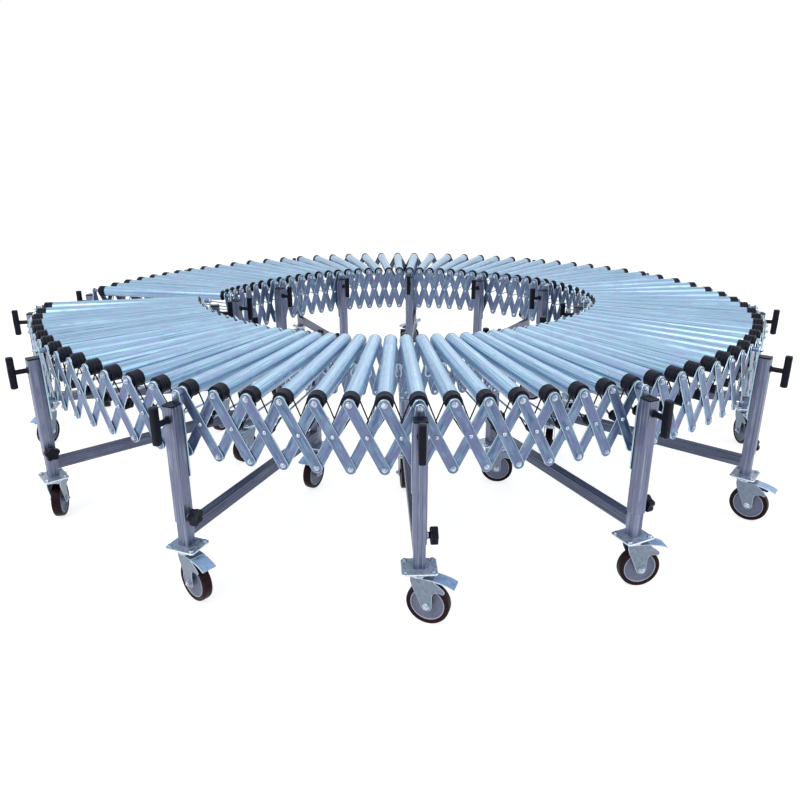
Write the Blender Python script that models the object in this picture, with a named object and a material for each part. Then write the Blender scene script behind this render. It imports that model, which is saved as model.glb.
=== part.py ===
"""Flexible roller conveyor on castered stands, pulled round into a nearly closed ring.

Metres, +Z up, floor at z = 0. A station is a place on the conveyor's mid-line, counted in
rollers from the front left end. Its local axes run outward (x), along the conveyor (y) and
up (z), with the origin on the roller's axle. Sides are +1 for the outside of the ring and
-1 for the inside.
"""

import math

import bmesh
import bpy
from mathutils import Matrix, Vector

# Plan of the ring
STAND_COUNT = 13
CELLS_PER_STAND = 7
MODULE_REACH = 3
RING_RADIUS = 1.18
RING_CENTRE_X = 0.0260
RING_CENTRE_Y = -0.0111
START_GUIDE_ANGLE = -115.0
STAND_ANGLES = (-82.9, -54.5, -25.4, 1.4, 27.9, 54.3, 82.1, 114.9, 145.6, 176.6, 207.1, 238.6, 264.0)
END_GUIDE_ANGLE = 289.0
START_GUIDE_SHARE = 1.144
STAND_RADIUS_SHARES = (1.108, 1.039, 1.003, 0.981, 0.986, 1.019, 1.062, 1.049, 1.0, 1.002, 1.0, 0.997, 1.046)
END_GUIDE_SHARE = 1.075
OPEN_STAND = 4
SWIVEL_STANDS = (1, 2, 3, 5, 6, 7, 13)
TANGENT_STEP = 0.05
FLAT_ANGLE = 0.002

# Clearances and overlaps
FIT_GAP = 0.0003
JOIN_OVERLAP = 0.0005
OVERRUN = 0.002

# Rollers
AXLE_HEIGHT = 0.655
ROLLER_RADIUS = 0.025
ROLLER_HALF_LENGTH = 0.338
ROLLER_CHAMFER = 0.002
SLEEVE_LENGTH = 0.036
SLEEVE_RADIUS = 0.0275
AXLE_RADIUS = 0.005
JOINED_AXLE_REACH = 0.0035
JOINED_ROLLER_SIDES = 8
ROLLER_SIDES = 12
AXLE_SIDES = 6

# Scissor links, in layers counted outward from the rollers
LINK_PIVOT_LENGTH = 0.216
LINK_WIDTH = 0.033
LINK_THICKNESS = 0.003
ROLLER_END_GAP = 0.012
LAYER_GAP = 0.0015
FLEX_GAP = 0.0065
PIN_SEAT_GAP = 0.0008
PIN_RADIUS = 0.005

# Hangers and posts
HANGER_STANDOFF = 0.030
HANGER_THICKNESS = 0.0045
HANGER_WIDTH = 0.046
HANGER_RISE = 0.014
HANGER_DROP = 0.255
POST_WIDTH = 0.040
POST_WALL = 0.0022
POST_TOP_DROP = 0.020
POST_FLOAT = 0.014
CAP_THICKNESS = 0.006

# Pull handles and clamp knobs
HANDLE_DROP = 0.0625
STEM_RADIUS = 0.009
STEM_LENGTH = 0.052
STEM_SCREW_RADIUS = 0.004
GRIP_RADIUS = 0.012
GRIP_LENGTH = 0.115
GRIP_SIDES = 8
JOINED_GRIP_SIDES = 6
JOINED_STEM_SIDES = 4
KNOB_RISE = 0.020
KNOB_RADIUS = 0.0275
KNOB_WAIST_SHARE = 0.74
KNOB_LOBES = 5
KNOB_LENGTH = 0.023
KNOB_NECK_RADIUS = 0.010
KNOB_NECK_LENGTH = 0.010
KNOB_SCREW_RADIUS = 0.004

# Lower frames
TUBE_HEADROOM = 0.055
BEAM_WIDTH = 0.034
BEAM_HEIGHT = 0.040
BEAM_RISE = 0.028
PLATE_LENGTH = 0.085
PLATE_WIDTH = 0.105
PLATE_THICKNESS = 0.005
PLATE_BOLT_INSET = 0.012
PLATE_BOLT_RADIUS = 0.006
PLATE_BOLT_HEIGHT = 0.006

# Casters
WHEEL_RADIUS = 0.066
WHEEL_WIDTH = 0.032
WHEEL_SIDES = 12
JOINED_WHEEL_SIDES = 8
HUB_RADIUS = 0.011
HUB_WIDTH = 0.040
WHEEL_BOLT_REACH = 0.0035
TRAIL = 0.030
CHEEK_THICKNESS = 0.003
CHEEK_CLEARANCE = 0.0015
CHEEK_TOP_WIDTH = 0.070
CHEEK_FOOT_WIDTH = 0.030
CHEEK_FOOT_DROP = 0.016
CROWN_THICKNESS = 0.004
CROWN_CLEARANCE = 0.019
SWIVEL_RADIUS = 0.030
SWIVEL_HEIGHT = 0.018
SWIVEL_SIDES = 8
PEDAL_WIDTH = 0.048
PEDAL_LENGTH = 0.062
PEDAL_THICKNESS = 0.003
PEDAL_FALL = 0.013
PEDAL_ROOT_GAP = 0.0006
OUTER_HEADINGS = (262.0, 103.0, -41.0, -20.0, 6.0, -40.0, -91.0, -60.0, 150.0, 200.0, 215.0, 240.0, 110.0)
INNER_HEADINGS = (250.0, 240.0, 248.0, 95.0, -10.0, 75.0, 110.0, 150.0, 120.0, 190.0, 175.0, 230.0, 80.0)

# Places worked out from the sizes above
PATH_ANGLES = (START_GUIDE_ANGLE, *STAND_ANGLES, END_GUIDE_ANGLE)
PATH_RADIUS_SHARES = (START_GUIDE_SHARE, *STAND_RADIUS_SHARES, END_GUIDE_SHARE)
ROLLER_COUNT = CELLS_PER_STAND * (STAND_COUNT - 1) + 1
HALF_LINK = LINK_WIDTH / 2
LAYER_OFFSET = ROLLER_HALF_LENGTH + ROLLER_END_GAP
CROSSING_LAYER_IN = LAYER_OFFSET - FLEX_GAP - LINK_THICKNESS
INNER_LAYER = LAYER_OFFSET
OUTER_LAYER = INNER_LAYER + LINK_THICKNESS + LAYER_GAP
CROSSING_LAYER_OUT = OUTER_LAYER + LINK_THICKNESS + FLEX_GAP
HANGER_OFFSET = LAYER_OFFSET + HANGER_STANDOFF
POST_FACE = HANGER_OFFSET + HANGER_THICKNESS + FIT_GAP
POST_OFFSET = POST_FACE + POST_WIDTH / 2
TUBE_WIDTH = POST_WIDTH - 2 * (POST_WALL + FIT_GAP)
HANDLE_HEIGHT = AXLE_HEIGHT - HANDLE_DROP
CROWN_BOTTOM = 2 * WHEEL_RADIUS + CROWN_CLEARANCE
CROWN_TOP = CROWN_BOTTOM + CROWN_THICKNESS
SWIVEL_TOP = CROWN_TOP + SWIVEL_HEIGHT
PLATE_BOTTOM = SWIVEL_TOP + FIT_GAP
PLATE_TOP = PLATE_BOTTOM + PLATE_THICKNESS
BEAM_BOTTOM = PLATE_TOP + BEAM_RISE
POST_BOTTOM = BEAM_BOTTOM + BEAM_HEIGHT + POST_FLOAT
POST_TOP = AXLE_HEIGHT - POST_TOP_DROP
TUBE_TOP = POST_TOP - CAP_THICKNESS - TUBE_HEADROOM
KNOB_HEIGHT = POST_BOTTOM + KNOB_RISE
CHEEK_INSIDE = HUB_WIDTH / 2 + CHEEK_CLEARANCE
CHEEK_OUTSIDE = CHEEK_INSIDE + CHEEK_THICKNESS
BOX_FACES = (
    (0, 1, 2, 3),
    (7, 6, 5, 4),
    (0, 4, 5, 1),
    (1, 5, 6, 2),
    (2, 6, 7, 3),
    (3, 7, 4, 0),
)


def smooth(values, place):
    """A smooth curve, read at place. It runs through all values but its first and last, its guides."""
    cell = min(max(math.floor(place), 0), len(values) - 4)
    share = place - cell
    before, start, end, after = values[cell : cell + 4]
    linear = (end - before) * share
    square = (2 * before - 5 * start + 4 * end - after) * share**2
    cube = (3 * start - before - 3 * end + after) * share**3
    return (2 * start + linear + square + cube) / 2


def mid_line(station):
    """The point on the conveyor's mid-line, at axle height."""
    place = station / CELLS_PER_STAND
    angle = math.radians(smooth(PATH_ANGLES, place))
    radius = RING_RADIUS * smooth(PATH_RADIUS_SHARES, place)
    x = RING_CENTRE_X + radius * math.sin(angle)
    y = RING_CENTRE_Y - radius * math.cos(angle)
    return Vector((x, y, AXLE_HEIGHT))


def station_frame(station):
    """The station's local axes: outward, along the conveyor, and up."""
    along = mid_line(station + TANGENT_STEP) - mid_line(station - TANGENT_STEP)
    along.normalize()
    up = Vector((0, 0, 1))
    outward = along.cross(up)
    axes = Matrix((outward, along, up)).transposed().to_4x4()
    return Matrix.Translation(mid_line(station)) @ axes


def stand_station(stand):
    """The station of a stand, counted from 1."""
    return (stand - 1) * CELLS_PER_STAND


def flex_station(stand):
    """The station of the flex axis between a stand's module and the next one."""
    return stand_station(stand) + CELLS_PER_STAND / 2


def module_stations(stand):
    """The stations of the rollers in a stand's module."""
    middle = stand_station(stand)
    first = max(middle - MODULE_REACH, 0)
    last = min(middle + MODULE_REACH, ROLLER_COUNT - 1)
    return range(first, last + 1)


def module_parity(stand):
    """The parity of the stations whose links lie in the outer layer, the module's end stations."""
    return (stand_station(stand) + MODULE_REACH) % 2


def floor_frame(stand, side):
    """Axes of a stand's leg at floor level, with x away from the conveyor and y to its right."""
    outward = station_frame(stand_station(stand))
    leg = outward @ Matrix.Translation((side * POST_OFFSET, 0, -AXLE_HEIGHT))
    return leg @ Matrix.Rotation(0 if side > 0 else math.pi, 4, "Z")


def caster_frame(stand, side):
    """Axes of a caster at floor level, on its swivel axis, with x towards the wheel."""
    heading = (OUTER_HEADINGS if side > 0 else INNER_HEADINGS)[stand - 1]
    origin = floor_frame(stand, side).translation
    return Matrix.Translation(origin) @ Matrix.Rotation(math.radians(heading), 4, "Z")


def box(frame, low, high):
    """A box between two corners in the frame's axes."""
    points = []
    for z in (low[2], high[2]):
        points.append(frame @ Vector((low[0], low[1], z)))
        points.append(frame @ Vector((high[0], low[1], z)))
        points.append(frame @ Vector((high[0], high[1], z)))
        points.append(frame @ Vector((low[0], high[1], z)))
    return points, list(BOX_FACES)


def ring_faces(rows, sides, closed):
    """Faces between rings of points, with caps at both ends unless the rings close on themselves."""
    faces = []
    for row in range(rows if closed else rows - 1):
        following = (row + 1) % rows
        for side in range(sides):
            beside = (side + 1) % sides
            corner = row * sides
            above = following * sides
            faces.append((corner + side, corner + beside, above + beside, above + side))
    if not closed:
        faces.append(tuple(range(sides)))
        faces.append(tuple((rows - 1) * sides + side for side in range(sides)))
    return faces


def turned(frame, axis, centre, profile, sides, closed=False):
    """A turned piece. The profile is (place along the axis, radius); centre gives its other places."""
    points = []
    for place, radius in profile:
        for side in range(sides):
            angle = 2 * math.pi * (side + 0.5) / sides
            across = radius * math.cos(angle)
            aside = radius * math.sin(angle)
            point = Vector(centre)
            point[axis] += place
            point[(axis + 1) % 3] += across
            point[(axis + 2) % 3] += aside
            points.append(frame @ point)
    return points, ring_faces(len(profile), sides, closed)


def rod(frame, axis, centre, start, end, radius, sides):
    """A straight rod from start to end along one of the frame's axes."""
    return turned(frame, axis, centre, ((start, radius), (end, radius)), sides)


def outline_plate(frame, outline, axis, start, end):
    """A plate with the given outline, seen along one of the frame's axes."""
    points = []
    for place in (start, end):
        for across, aside in outline:
            point = Vector((0, 0, 0))
            point[axis] = place
            point[(axis + 1) % 3] = across
            point[(axis + 2) % 3] = aside
            points.append(frame @ point)
    return points, ring_faces(2, len(outline), False)


def pivot_pitch(side, station, following):
    """The distance between two neighbouring link pivots on one side."""
    here = station_frame(station) @ Vector((side * LAYER_OFFSET, 0, 0))
    there = station_frame(following) @ Vector((side * LAYER_OFFSET, 0, 0))
    return (there - here).length


def pivot_drop(side, station):
    """How far a lower pivot hangs below the axles: links of one length stand steeper when close."""
    drops = []
    for following in (station - 1, station + 1):
        if 0 <= following < ROLLER_COUNT:
            pitch = pivot_pitch(side, station, following)
            drops.append(math.sqrt(LINK_PIVOT_LENGTH**2 - pitch**2))
    return sum(drops) / len(drops)


def link_point(side, station, layer, along, up):
    """A point on a link, by its station and its layer's distance from the mid-line."""
    return station_frame(station) @ Vector((side * layer, along, up))


def turn_outline(side, station, is_top, first, last):
    """Upper and lower outline points, as (along, up), where a zigzag strip turns or ends."""
    drop = pivot_drop(side, station)
    centre = 0 if is_top else -drop
    way = 1 if is_top else -1
    if first or last:
        following = station + 1 if first else station - 1
        run = pivot_pitch(side, station, following)
        rise = pivot_drop(side, station if not is_top else following)
        length = math.hypot(run, rise)
        ahead = -run / length if first else run / length
        upward = way * rise / length
        end_along = ahead * HALF_LINK
        end_up = centre + upward * HALF_LINK
        aside = abs(upward) * HALF_LINK
        lean = -aside if ahead * upward > 0 else aside
        upper = [(end_along + lean, end_up + abs(ahead) * HALF_LINK)]
        lower = [(end_along - lean, end_up - abs(ahead) * HALF_LINK)]
        return upper, lower
    tips = []
    corners = []
    for following in (station - 1, station + 1):
        run = pivot_pitch(side, station, following)
        length = math.hypot(run, drop)
        reach = HALF_LINK * (length - run) / drop
        tips.append(((following - station) * reach, centre + way * HALF_LINK))
        corners.append(centre - way * HALF_LINK * length / run)
    corner = [(0, sum(corners) / len(corners))]
    return (tips, corner) if is_top else (corner, tips)


def zigzag(side, stations, parity, layer):
    """One zigzag of links, joined at its pivots, with upper pivots at stations of this parity."""
    points = []
    uppers = []
    lowers = []
    faces = []
    for station in stations:
        is_top = station % 2 == parity
        first = station == stations[0]
        last = station == stations[-1]
        upper, lower = turn_outline(side, station, is_top, first, last)
        for outline, rows in ((upper, uppers), (lower, lowers)):
            row = []
            for along, up in outline:
                row.append(len(points))
                points.append(link_point(side, station, layer, along, up))
                points.append(link_point(side, station, layer + LINK_THICKNESS, along, up))
            rows.append(row)
    for face in (0, 1):
        for place in range(len(uppers) - 1):
            corners = (uppers[place][-1], uppers[place + 1][0], lowers[place + 1][0], lowers[place][-1])
            faces.append(tuple(corner + face for corner in corners))
        for upper, lower in zip(uppers, lowers):
            corners = upper + lower[::-1]
            if len(corners) > 2:
                faces.append(tuple(corner + face for corner in corners))
    for rows in (uppers, lowers):
        edge = [corner for row in rows for corner in row]
        for here, there in zip(edge, edge[1:]):
            faces.append((here, there, there + 1, here + 1))
    for place in (0, -1):
        faces.append((uppers[place][0], lowers[place][0], lowers[place][0] + 1, uppers[place][0] + 1))
    return points, faces


def link(side, top_station, low_station, layer):
    """One link, from an upper pivot to the lower pivot at a neighbouring station."""
    run = pivot_pitch(side, top_station, low_station) * (low_station - top_station)
    drop = pivot_drop(side, low_station if 0 <= low_station < ROLLER_COUNT else top_station)
    length = math.hypot(run, drop)
    ahead = (run / length, -drop / length)
    aside = (drop / length, run / length)
    outline = []
    for end, station, centre in ((-1, top_station, 0), (1, low_station, -drop)):
        for width in (1, -1):
            along = HALF_LINK * end * (ahead[0] + width * aside[0])
            up = centre + HALF_LINK * end * (ahead[1] + width * aside[1])
            outline.append((station, along, up))
    points = []
    for place in (layer, layer + LINK_THICKNESS):
        for station, along, up in outline:
            points.append(link_point(side, station, place, along, up))
    return points, ring_faces(2, len(outline), False)


def make_mesh(name, points, faces):
    """A triangulated mesh whose faces point out."""
    shape = bmesh.new()
    corners = [shape.verts.new(point) for point in points]
    for face in faces:
        shape.faces.new([corners[corner] for corner in face])
    bmesh.ops.recalc_face_normals(shape, faces=shape.faces)
    bmesh.ops.triangulate(shape, faces=shape.faces)
    mesh = bpy.data.meshes.new(name)
    shape.to_mesh(mesh)
    shape.free()
    return mesh


def make_object(name, piece):
    """A scene object from points and faces."""
    thing = bpy.data.objects.new(name, make_mesh(name, *piece))
    bpy.context.scene.collection.objects.link(thing)
    return thing


def join_flat_faces(mesh):
    """Joins faces that lie in one plane, which the union had split."""
    shape = bmesh.new()
    shape.from_mesh(mesh)
    bmesh.ops.dissolve_limit(shape, angle_limit=FLAT_ANGLE, verts=shape.verts, edges=shape.edges)
    bmesh.ops.triangulate(shape, faces=shape.faces)
    shape.to_mesh(mesh)
    shape.free()


def combine(thing, pieces, operation):
    """Unites the object with the pieces, or cuts them from it, and keeps the result as its mesh."""
    helpers = bpy.data.collections.new("helpers")
    for number, piece in enumerate(pieces):
        mesh = make_mesh("helper", *piece)
        helpers.objects.link(bpy.data.objects.new(f"helper_{number}", mesh))
    change = thing.modifiers.new("change", "BOOLEAN")
    change.operation = operation
    change.solver = "EXACT"
    change.operand_type = "COLLECTION"
    change.collection = helpers
    view = bpy.context.evaluated_depsgraph_get()
    result = bpy.data.meshes.new_from_object(thing.evaluated_get(view))
    thing.modifiers.clear()
    thing.data = result
    result.name = thing.name
    join_flat_faces(result)
    for helper in list(helpers.objects):
        bpy.data.objects.remove(helper)
    bpy.data.collections.remove(helpers)


def finish(thing, look, origin):
    """Gives a node its material and puts its origin on the axis that it moves about."""
    thing.data.transform(Matrix.Translation(-origin))
    thing.location = origin
    thing.data.materials.clear()
    thing.data.materials.append(material(f"{thing.name}_{look}", look))
    thing.data.shade_flat()


def build_node(name, pieces, look, origin, cuts=()):
    """One named node: the union of its pieces, less its cuts."""
    thing = make_object(name, pieces[0])
    if pieces[1:]:
        combine(thing, pieces[1:], "UNION")
    if cuts:
        combine(thing, cuts, "DIFFERENCE")
    finish(thing, look, origin)
    return thing


LOOKS = {
    "galvanised": ((0.46, 0.60, 0.74), 0.35, 0.8),
    "zinc": ((0.30, 0.36, 0.50), 0.4, 0.8),
    "aluminium": ((0.27, 0.29, 0.40), 0.45, 0.7),
    "plastic": ((0.012, 0.012, 0.018), 0.5, 0.0),
    "tyre": ((0.045, 0.018, 0.022), 0.6, 0.0),
    "pedal": ((0.16, 0.28, 0.50), 0.35, 0.8),
}


def material(name, look):
    """A plain material of one of the looks above."""
    colour, roughness, metallic = LOOKS[look]
    made = bpy.data.materials.new(name)
    made.use_nodes = True
    shader = made.node_tree.nodes["Principled BSDF"]
    shader.inputs["Base Color"].default_value = (*colour, 1.0)
    shader.inputs["Roughness"].default_value = roughness
    shader.inputs["Metallic"].default_value = metallic
    return made


def axle_end(station, stand):
    """Where a joined roller's axle ends on each side, inside the last piece that it carries."""
    stations = module_stations(stand)
    if station == stand_station(stand):
        return HANGER_OFFSET + HANGER_THICKNESS / 2
    if station == stations[-1] and stand < STAND_COUNT:
        return CROSSING_LAYER_OUT + LINK_THICKNESS / 2
    if station % 2 == module_parity(stand):
        return OUTER_LAYER + LINK_THICKNESS / 2
    return INNER_LAYER + LINK_THICKNESS / 2


def joined_roller(station, stand):
    """A roller's body and its square axle."""
    frame = station_frame(station)
    end = axle_end(station, stand)
    half = ROLLER_HALF_LENGTH
    tube = rod(frame, 0, (0, 0, 0), -half, half, ROLLER_RADIUS, JOINED_ROLLER_SIDES)
    reach = JOINED_AXLE_REACH
    axle = box(frame, (-end, -reach, -reach), (end, reach, reach))
    return [tube, axle]


def joined_links(stand, side):
    """A module's links on one side, joined along each zigzag, and its links over to the neighbours."""
    stations = module_stations(stand)
    parity = module_parity(stand)
    pieces = [
        zigzag(side, stations, 1 - parity, INNER_LAYER),
        zigzag(side, stations, parity, OUTER_LAYER),
    ]
    pieces += crossing_links(stand, side)
    middle = stand_station(stand)
    for here in (middle - 1, middle):
        if here in stations and here + 1 in stations:
            pieces.append(middle_pin(side, here))
    return pieces


def link_pin(side, station, up, start, end, radius):
    """A square pin on a pivot."""
    ends = sorted((side * start, side * end))
    frame = station_frame(station)
    return box(frame, (ends[0], -radius, up - radius), (ends[1], radius, up + radius))


def middle_pin(side, station):
    """The pin where the two links between a station and the next one cross."""
    up = -(pivot_drop(side, station) + pivot_drop(side, station + 1)) / 4
    inside = INNER_LAYER + LINK_THICKNESS / 2
    outside = OUTER_LAYER + LINK_THICKNESS / 2
    return link_pin(side, station + 1 / 2, up, inside, outside, PIN_RADIUS)


def crossing_links(stand, side):
    """The links that reach over to the neighbouring modules, clear of them in layers of their own.

    Straightening the conveyor carries a neighbour outward, so each side has a pivot pin only on the
    face that its neighbour then leaves: inside the outer lattice, and outside the inner one.
    """
    stations = module_stations(stand)
    pieces = []
    if stand < STAND_COUNT:
        station = stations[-1] + 1
        pieces.append(link(side, stations[-1], station, CROSSING_LAYER_OUT))
        if side < 0:
            start = INNER_LAYER + LINK_THICKNESS + PIN_SEAT_GAP
            end = CROSSING_LAYER_OUT + LINK_THICKNESS / 2
            pieces.append(link_pin(side, station, -pivot_drop(side, station), start, end, PIN_RADIUS))
    if stand > 1:
        station = stations[0] - 1
        pieces.append(link(side, stations[0], station, CROSSING_LAYER_IN))
        if side > 0:
            start = CROSSING_LAYER_IN + LINK_THICKNESS / 2
            end = (OUTER_LAYER if stand - 1 == OPEN_STAND else INNER_LAYER) - PIN_SEAT_GAP
            pieces.append(link_pin(side, station, -pivot_drop(side, station), start, end, PIN_RADIUS))
    return pieces


def hanger(stand, side, reach):
    """The plate that hangs a post from the stand's own roller axle."""
    frame = station_frame(stand_station(stand))
    ends = sorted((side * HANGER_OFFSET, side * (HANGER_OFFSET + reach)))
    half = HANGER_WIDTH / 2
    return box(frame, (ends[0], -half, -HANGER_DROP), (ends[1], half, HANGER_RISE))


def post(stand, side):
    """A square post, open below, with its cap."""
    frame = floor_frame(stand, side)
    half = POST_WIDTH / 2
    bore = half - POST_WALL
    levels = ((POST_TOP, half), (POST_BOTTOM, half), (POST_BOTTOM, bore), (POST_TOP - CAP_THICKNESS, bore))
    points = []
    for height, reach in levels:
        for x, y in ((-reach, -reach), (reach, -reach), (reach, reach), (-reach, reach)):
            points.append(frame @ Vector((x, y, height)))
    return points, ring_faces(len(levels), 4, False)


def handle(stand, side, rounded, start):
    """The pull handle: a stem out of the post and an upright grip. Start is the stem's inner end."""
    frame = floor_frame(stand, side)
    half = POST_WIDTH / 2
    grip_centre = (half + STEM_LENGTH, 0, HANDLE_HEIGHT)
    grip_sides = GRIP_SIDES if rounded else JOINED_GRIP_SIDES
    stem_sides = AXLE_SIDES if rounded else JOINED_STEM_SIDES
    chamfer = GRIP_RADIUS / 3
    reach = GRIP_LENGTH / 2
    profile = ((-reach, GRIP_RADIUS), (reach, GRIP_RADIUS))
    if rounded:
        inset = GRIP_RADIUS - chamfer
        waist = ((-reach + chamfer, GRIP_RADIUS), (reach - chamfer, GRIP_RADIUS))
        profile = ((-reach, inset), *waist, (reach, inset))
    grip = turned(frame, 2, grip_centre, profile, grip_sides)
    stem = rod(frame, 0, (0, 0, HANDLE_HEIGHT), start, half + STEM_LENGTH, STEM_RADIUS, stem_sides)
    return [grip, stem]


def knob_way(side):
    """The knobs of both legs look along the conveyor the same way."""
    return 1 if side > 0 else -1


def knob(stand, side, lobed):
    """The clamp knob on the post's side: a five-lobed star, or a plain hexagon where it is joined."""
    frame = floor_frame(stand, side) @ Matrix.Rotation(0 if knob_way(side) > 0 else math.pi, 4, "Z")
    half = POST_WIDTH / 2
    if not lobed:
        start = half - JOIN_OVERLAP
        end = half + KNOB_NECK_LENGTH + KNOB_LENGTH
        return [rod(frame, 1, (0, 0, KNOB_HEIGHT), start, end, KNOB_RADIUS, AXLE_SIDES)]
    start = half + KNOB_NECK_LENGTH
    outline = []
    for corner in range(4 * KNOB_LOBES):
        angle = 2 * math.pi * (corner - 0.5) / (4 * KNOB_LOBES)
        radius = KNOB_RADIUS * (1 if corner % 4 < 2 else KNOB_WAIST_SHARE)
        outline.append((KNOB_HEIGHT + radius * math.cos(angle), radius * math.sin(angle)))
    star = outline_plate(frame, outline, 1, start, start + KNOB_LENGTH)
    centre = (0, 0, KNOB_HEIGHT)
    seat = half + FIT_GAP
    neck = rod(frame, 1, centre, seat, start + OVERRUN, KNOB_NECK_RADIUS, JOINED_ROLLER_SIDES)
    screw = rod(frame, 1, centre, half - POST_WALL, seat + OVERRUN, KNOB_SCREW_RADIUS, AXLE_SIDES)
    return [star, neck, screw]


def lower_frame(stand, bolts):
    """The two inner tubes, the cross-beam between them and the caster plates."""
    frame = station_frame(stand_station(stand)) @ Matrix.Translation((0, 0, -AXLE_HEIGHT))
    half = BEAM_WIDTH / 2
    reach = POST_OFFSET
    pieces = [box(frame, (-reach, -half, BEAM_BOTTOM), (reach, half, BEAM_BOTTOM + BEAM_HEIGHT))]
    for side in (1, -1):
        leg = floor_frame(stand, side)
        tube = TUBE_WIDTH / 2
        low = PLATE_TOP - JOIN_OVERLAP
        pieces.append(box(leg, (-tube, -tube, low), (tube, tube, TUBE_TOP)))
        length = PLATE_LENGTH / 2
        width = PLATE_WIDTH / 2
        pieces.append(box(leg, (-length, -width, PLATE_BOTTOM), (length, width, PLATE_TOP)))
        if bolts:
            pieces += plate_bolts(leg)
    return pieces


def plate_bolts(leg):
    """The bolts at the corners of a caster plate."""
    pieces = []
    length = PLATE_LENGTH / 2 - PLATE_BOLT_INSET
    width = PLATE_WIDTH / 2 - PLATE_BOLT_INSET
    start = -PLATE_THICKNESS / 2
    for x in (-length, length):
        for y in (-width, width):
            centre = (x, y, PLATE_TOP)
            pieces.append(rod(leg, 2, centre, start, PLATE_BOLT_HEIGHT, PLATE_BOLT_RADIUS, AXLE_SIDES))
    return pieces


def fork_arch(frame):
    """A fork's crown and two cheeks in one bent strip: wide above, narrow round the wheel's bolt."""
    wide = CHEEK_TOP_WIDTH / 2
    narrow = CHEEK_FOOT_WIDTH / 2
    foot = WHEEL_RADIUS - CHEEK_FOOT_DROP
    section = (
        (CHEEK_OUTSIDE, foot),
        (CHEEK_OUTSIDE, CROWN_TOP),
        (-CHEEK_OUTSIDE, CROWN_TOP),
        (-CHEEK_OUTSIDE, foot),
        (-CHEEK_INSIDE, foot),
        (-CHEEK_INSIDE, CROWN_BOTTOM),
        (CHEEK_INSIDE, CROWN_BOTTOM),
        (CHEEK_INSIDE, foot),
    )
    points = []
    for way in (-1, 1):
        for y, z in section:
            x = TRAIL + way * narrow if z == foot else TRAIL / 2 + way * wide
            points.append(frame @ Vector((x, y, z)))
    return points, ring_faces(2, len(section), False)


def wheel_bolt(frame, reach):
    """A square bolt through the wheel, with its ends in the fork's cheeks."""
    end = (CHEEK_INSIDE + CHEEK_OUTSIDE) / 2
    low = (TRAIL - reach, -end, WHEEL_RADIUS - reach)
    high = (TRAIL + reach, end, WHEEL_RADIUS + reach)
    return box(frame, low, high)


def fork(frame):
    """A swivelling fork: its bearing ring, crown, cheeks and the wheel's bolt."""
    start = CROWN_TOP - JOIN_OVERLAP
    return [
        fork_arch(frame),
        rod(frame, 2, (0, 0, 0), start, SWIVEL_TOP, SWIVEL_RADIUS, SWIVEL_SIDES),
        wheel_bolt(frame, WHEEL_BOLT_REACH),
    ]


def running_bore(shaft_radius, sides):
    """The corner radius of a faceted bore whose flats clear a shaft that turns in it."""
    return (shaft_radius + FIT_GAP) / math.cos(math.pi / sides)


def tyre_corner(sides):
    """The radius of a faceted wheel's corners, whose flats then touch the true radius."""
    return WHEEL_RADIUS / math.cos(math.pi / sides)


def wheel(frame):
    """A wheel with its tyre, hub boss and bore."""
    half = WHEEL_WIDTH / 2
    corner = tyre_corner(WHEEL_SIDES)
    hub = HUB_WIDTH / 2
    bore = running_bore(WHEEL_BOLT_REACH * math.sqrt(2), WHEEL_SIDES)
    profile = (
        (-hub, bore),
        (-hub, HUB_RADIUS),
        (-half, corner),
        (half, corner),
        (hub, HUB_RADIUS),
        (hub, bore),
    )
    return turned(frame, 1, (TRAIL, 0, WHEEL_RADIUS), profile, WHEEL_SIDES, closed=True)


def pedal(frame, root):
    """The brake pedal: a wide strip that falls away from the fork."""
    start = TRAIL / 2 + CHEEK_TOP_WIDTH / 2 + root
    end = start + PEDAL_LENGTH
    low = CROWN_BOTTOM
    high = low + PEDAL_THICKNESS
    fall = PEDAL_FALL
    outline = ((low, start), (low - fall, end), (high - fall, end), (high, start))
    return outline_plate(frame, outline, 1, -PEDAL_WIDTH / 2, PEDAL_WIDTH / 2)


def joined_caster(frame):
    """A caster in one with its plate: wheel, bolt, fork, swivel block and brake pedal."""
    half = WHEEL_WIDTH / 2
    corner = tyre_corner(JOINED_WHEEL_SIDES)
    start = CROWN_TOP - JOIN_OVERLAP
    end = PLATE_TOP - PLATE_THICKNESS / 2
    return [
        rod(frame, 1, (TRAIL, 0, WHEEL_RADIUS), -half, half, corner, JOINED_WHEEL_SIDES),
        wheel_bolt(frame, WHEEL_BOLT_REACH),
        fork_arch(frame),
        rod(frame, 2, (0, 0, 0), start, end, SWIVEL_RADIUS, AXLE_SIDES),
        pedal(frame, -JOIN_OVERLAP),
    ]


def build_joined_deck(stand):
    """A whole module in one node: rollers, axles, links, hangers, posts, handles and knobs."""
    pieces = []
    for station in module_stations(stand):
        pieces += joined_roller(station, stand)
    for side in (1, -1):
        pieces += joined_links(stand, side)
        pieces.append(hanger(stand, side, HANGER_THICKNESS + FIT_GAP + JOIN_OVERLAP))
        pieces.append(post(stand, side))
        pieces += handle(stand, side, False, POST_WIDTH / 2 - JOIN_OVERLAP)
        pieces += knob(stand, side, False)
    axis_station = flex_station(stand if stand < OPEN_STAND else stand - 1)
    build_node(f"deck_{stand:02d}", pieces, "galvanised", mid_line(axis_station))


def build_lower_frame(stand):
    """The lower frame of a joined stand, with the casters that aren't nodes of their own."""
    pieces = lower_frame(stand, False)
    for side in (1, -1):
        if side < 0 or stand not in SWIVEL_STANDS:
            pieces += joined_caster(caster_frame(stand, side))
    origin = mid_line(stand_station(stand))
    build_node(f"lower_frame_{stand:02d}", pieces, "aluminium", origin)


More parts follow.
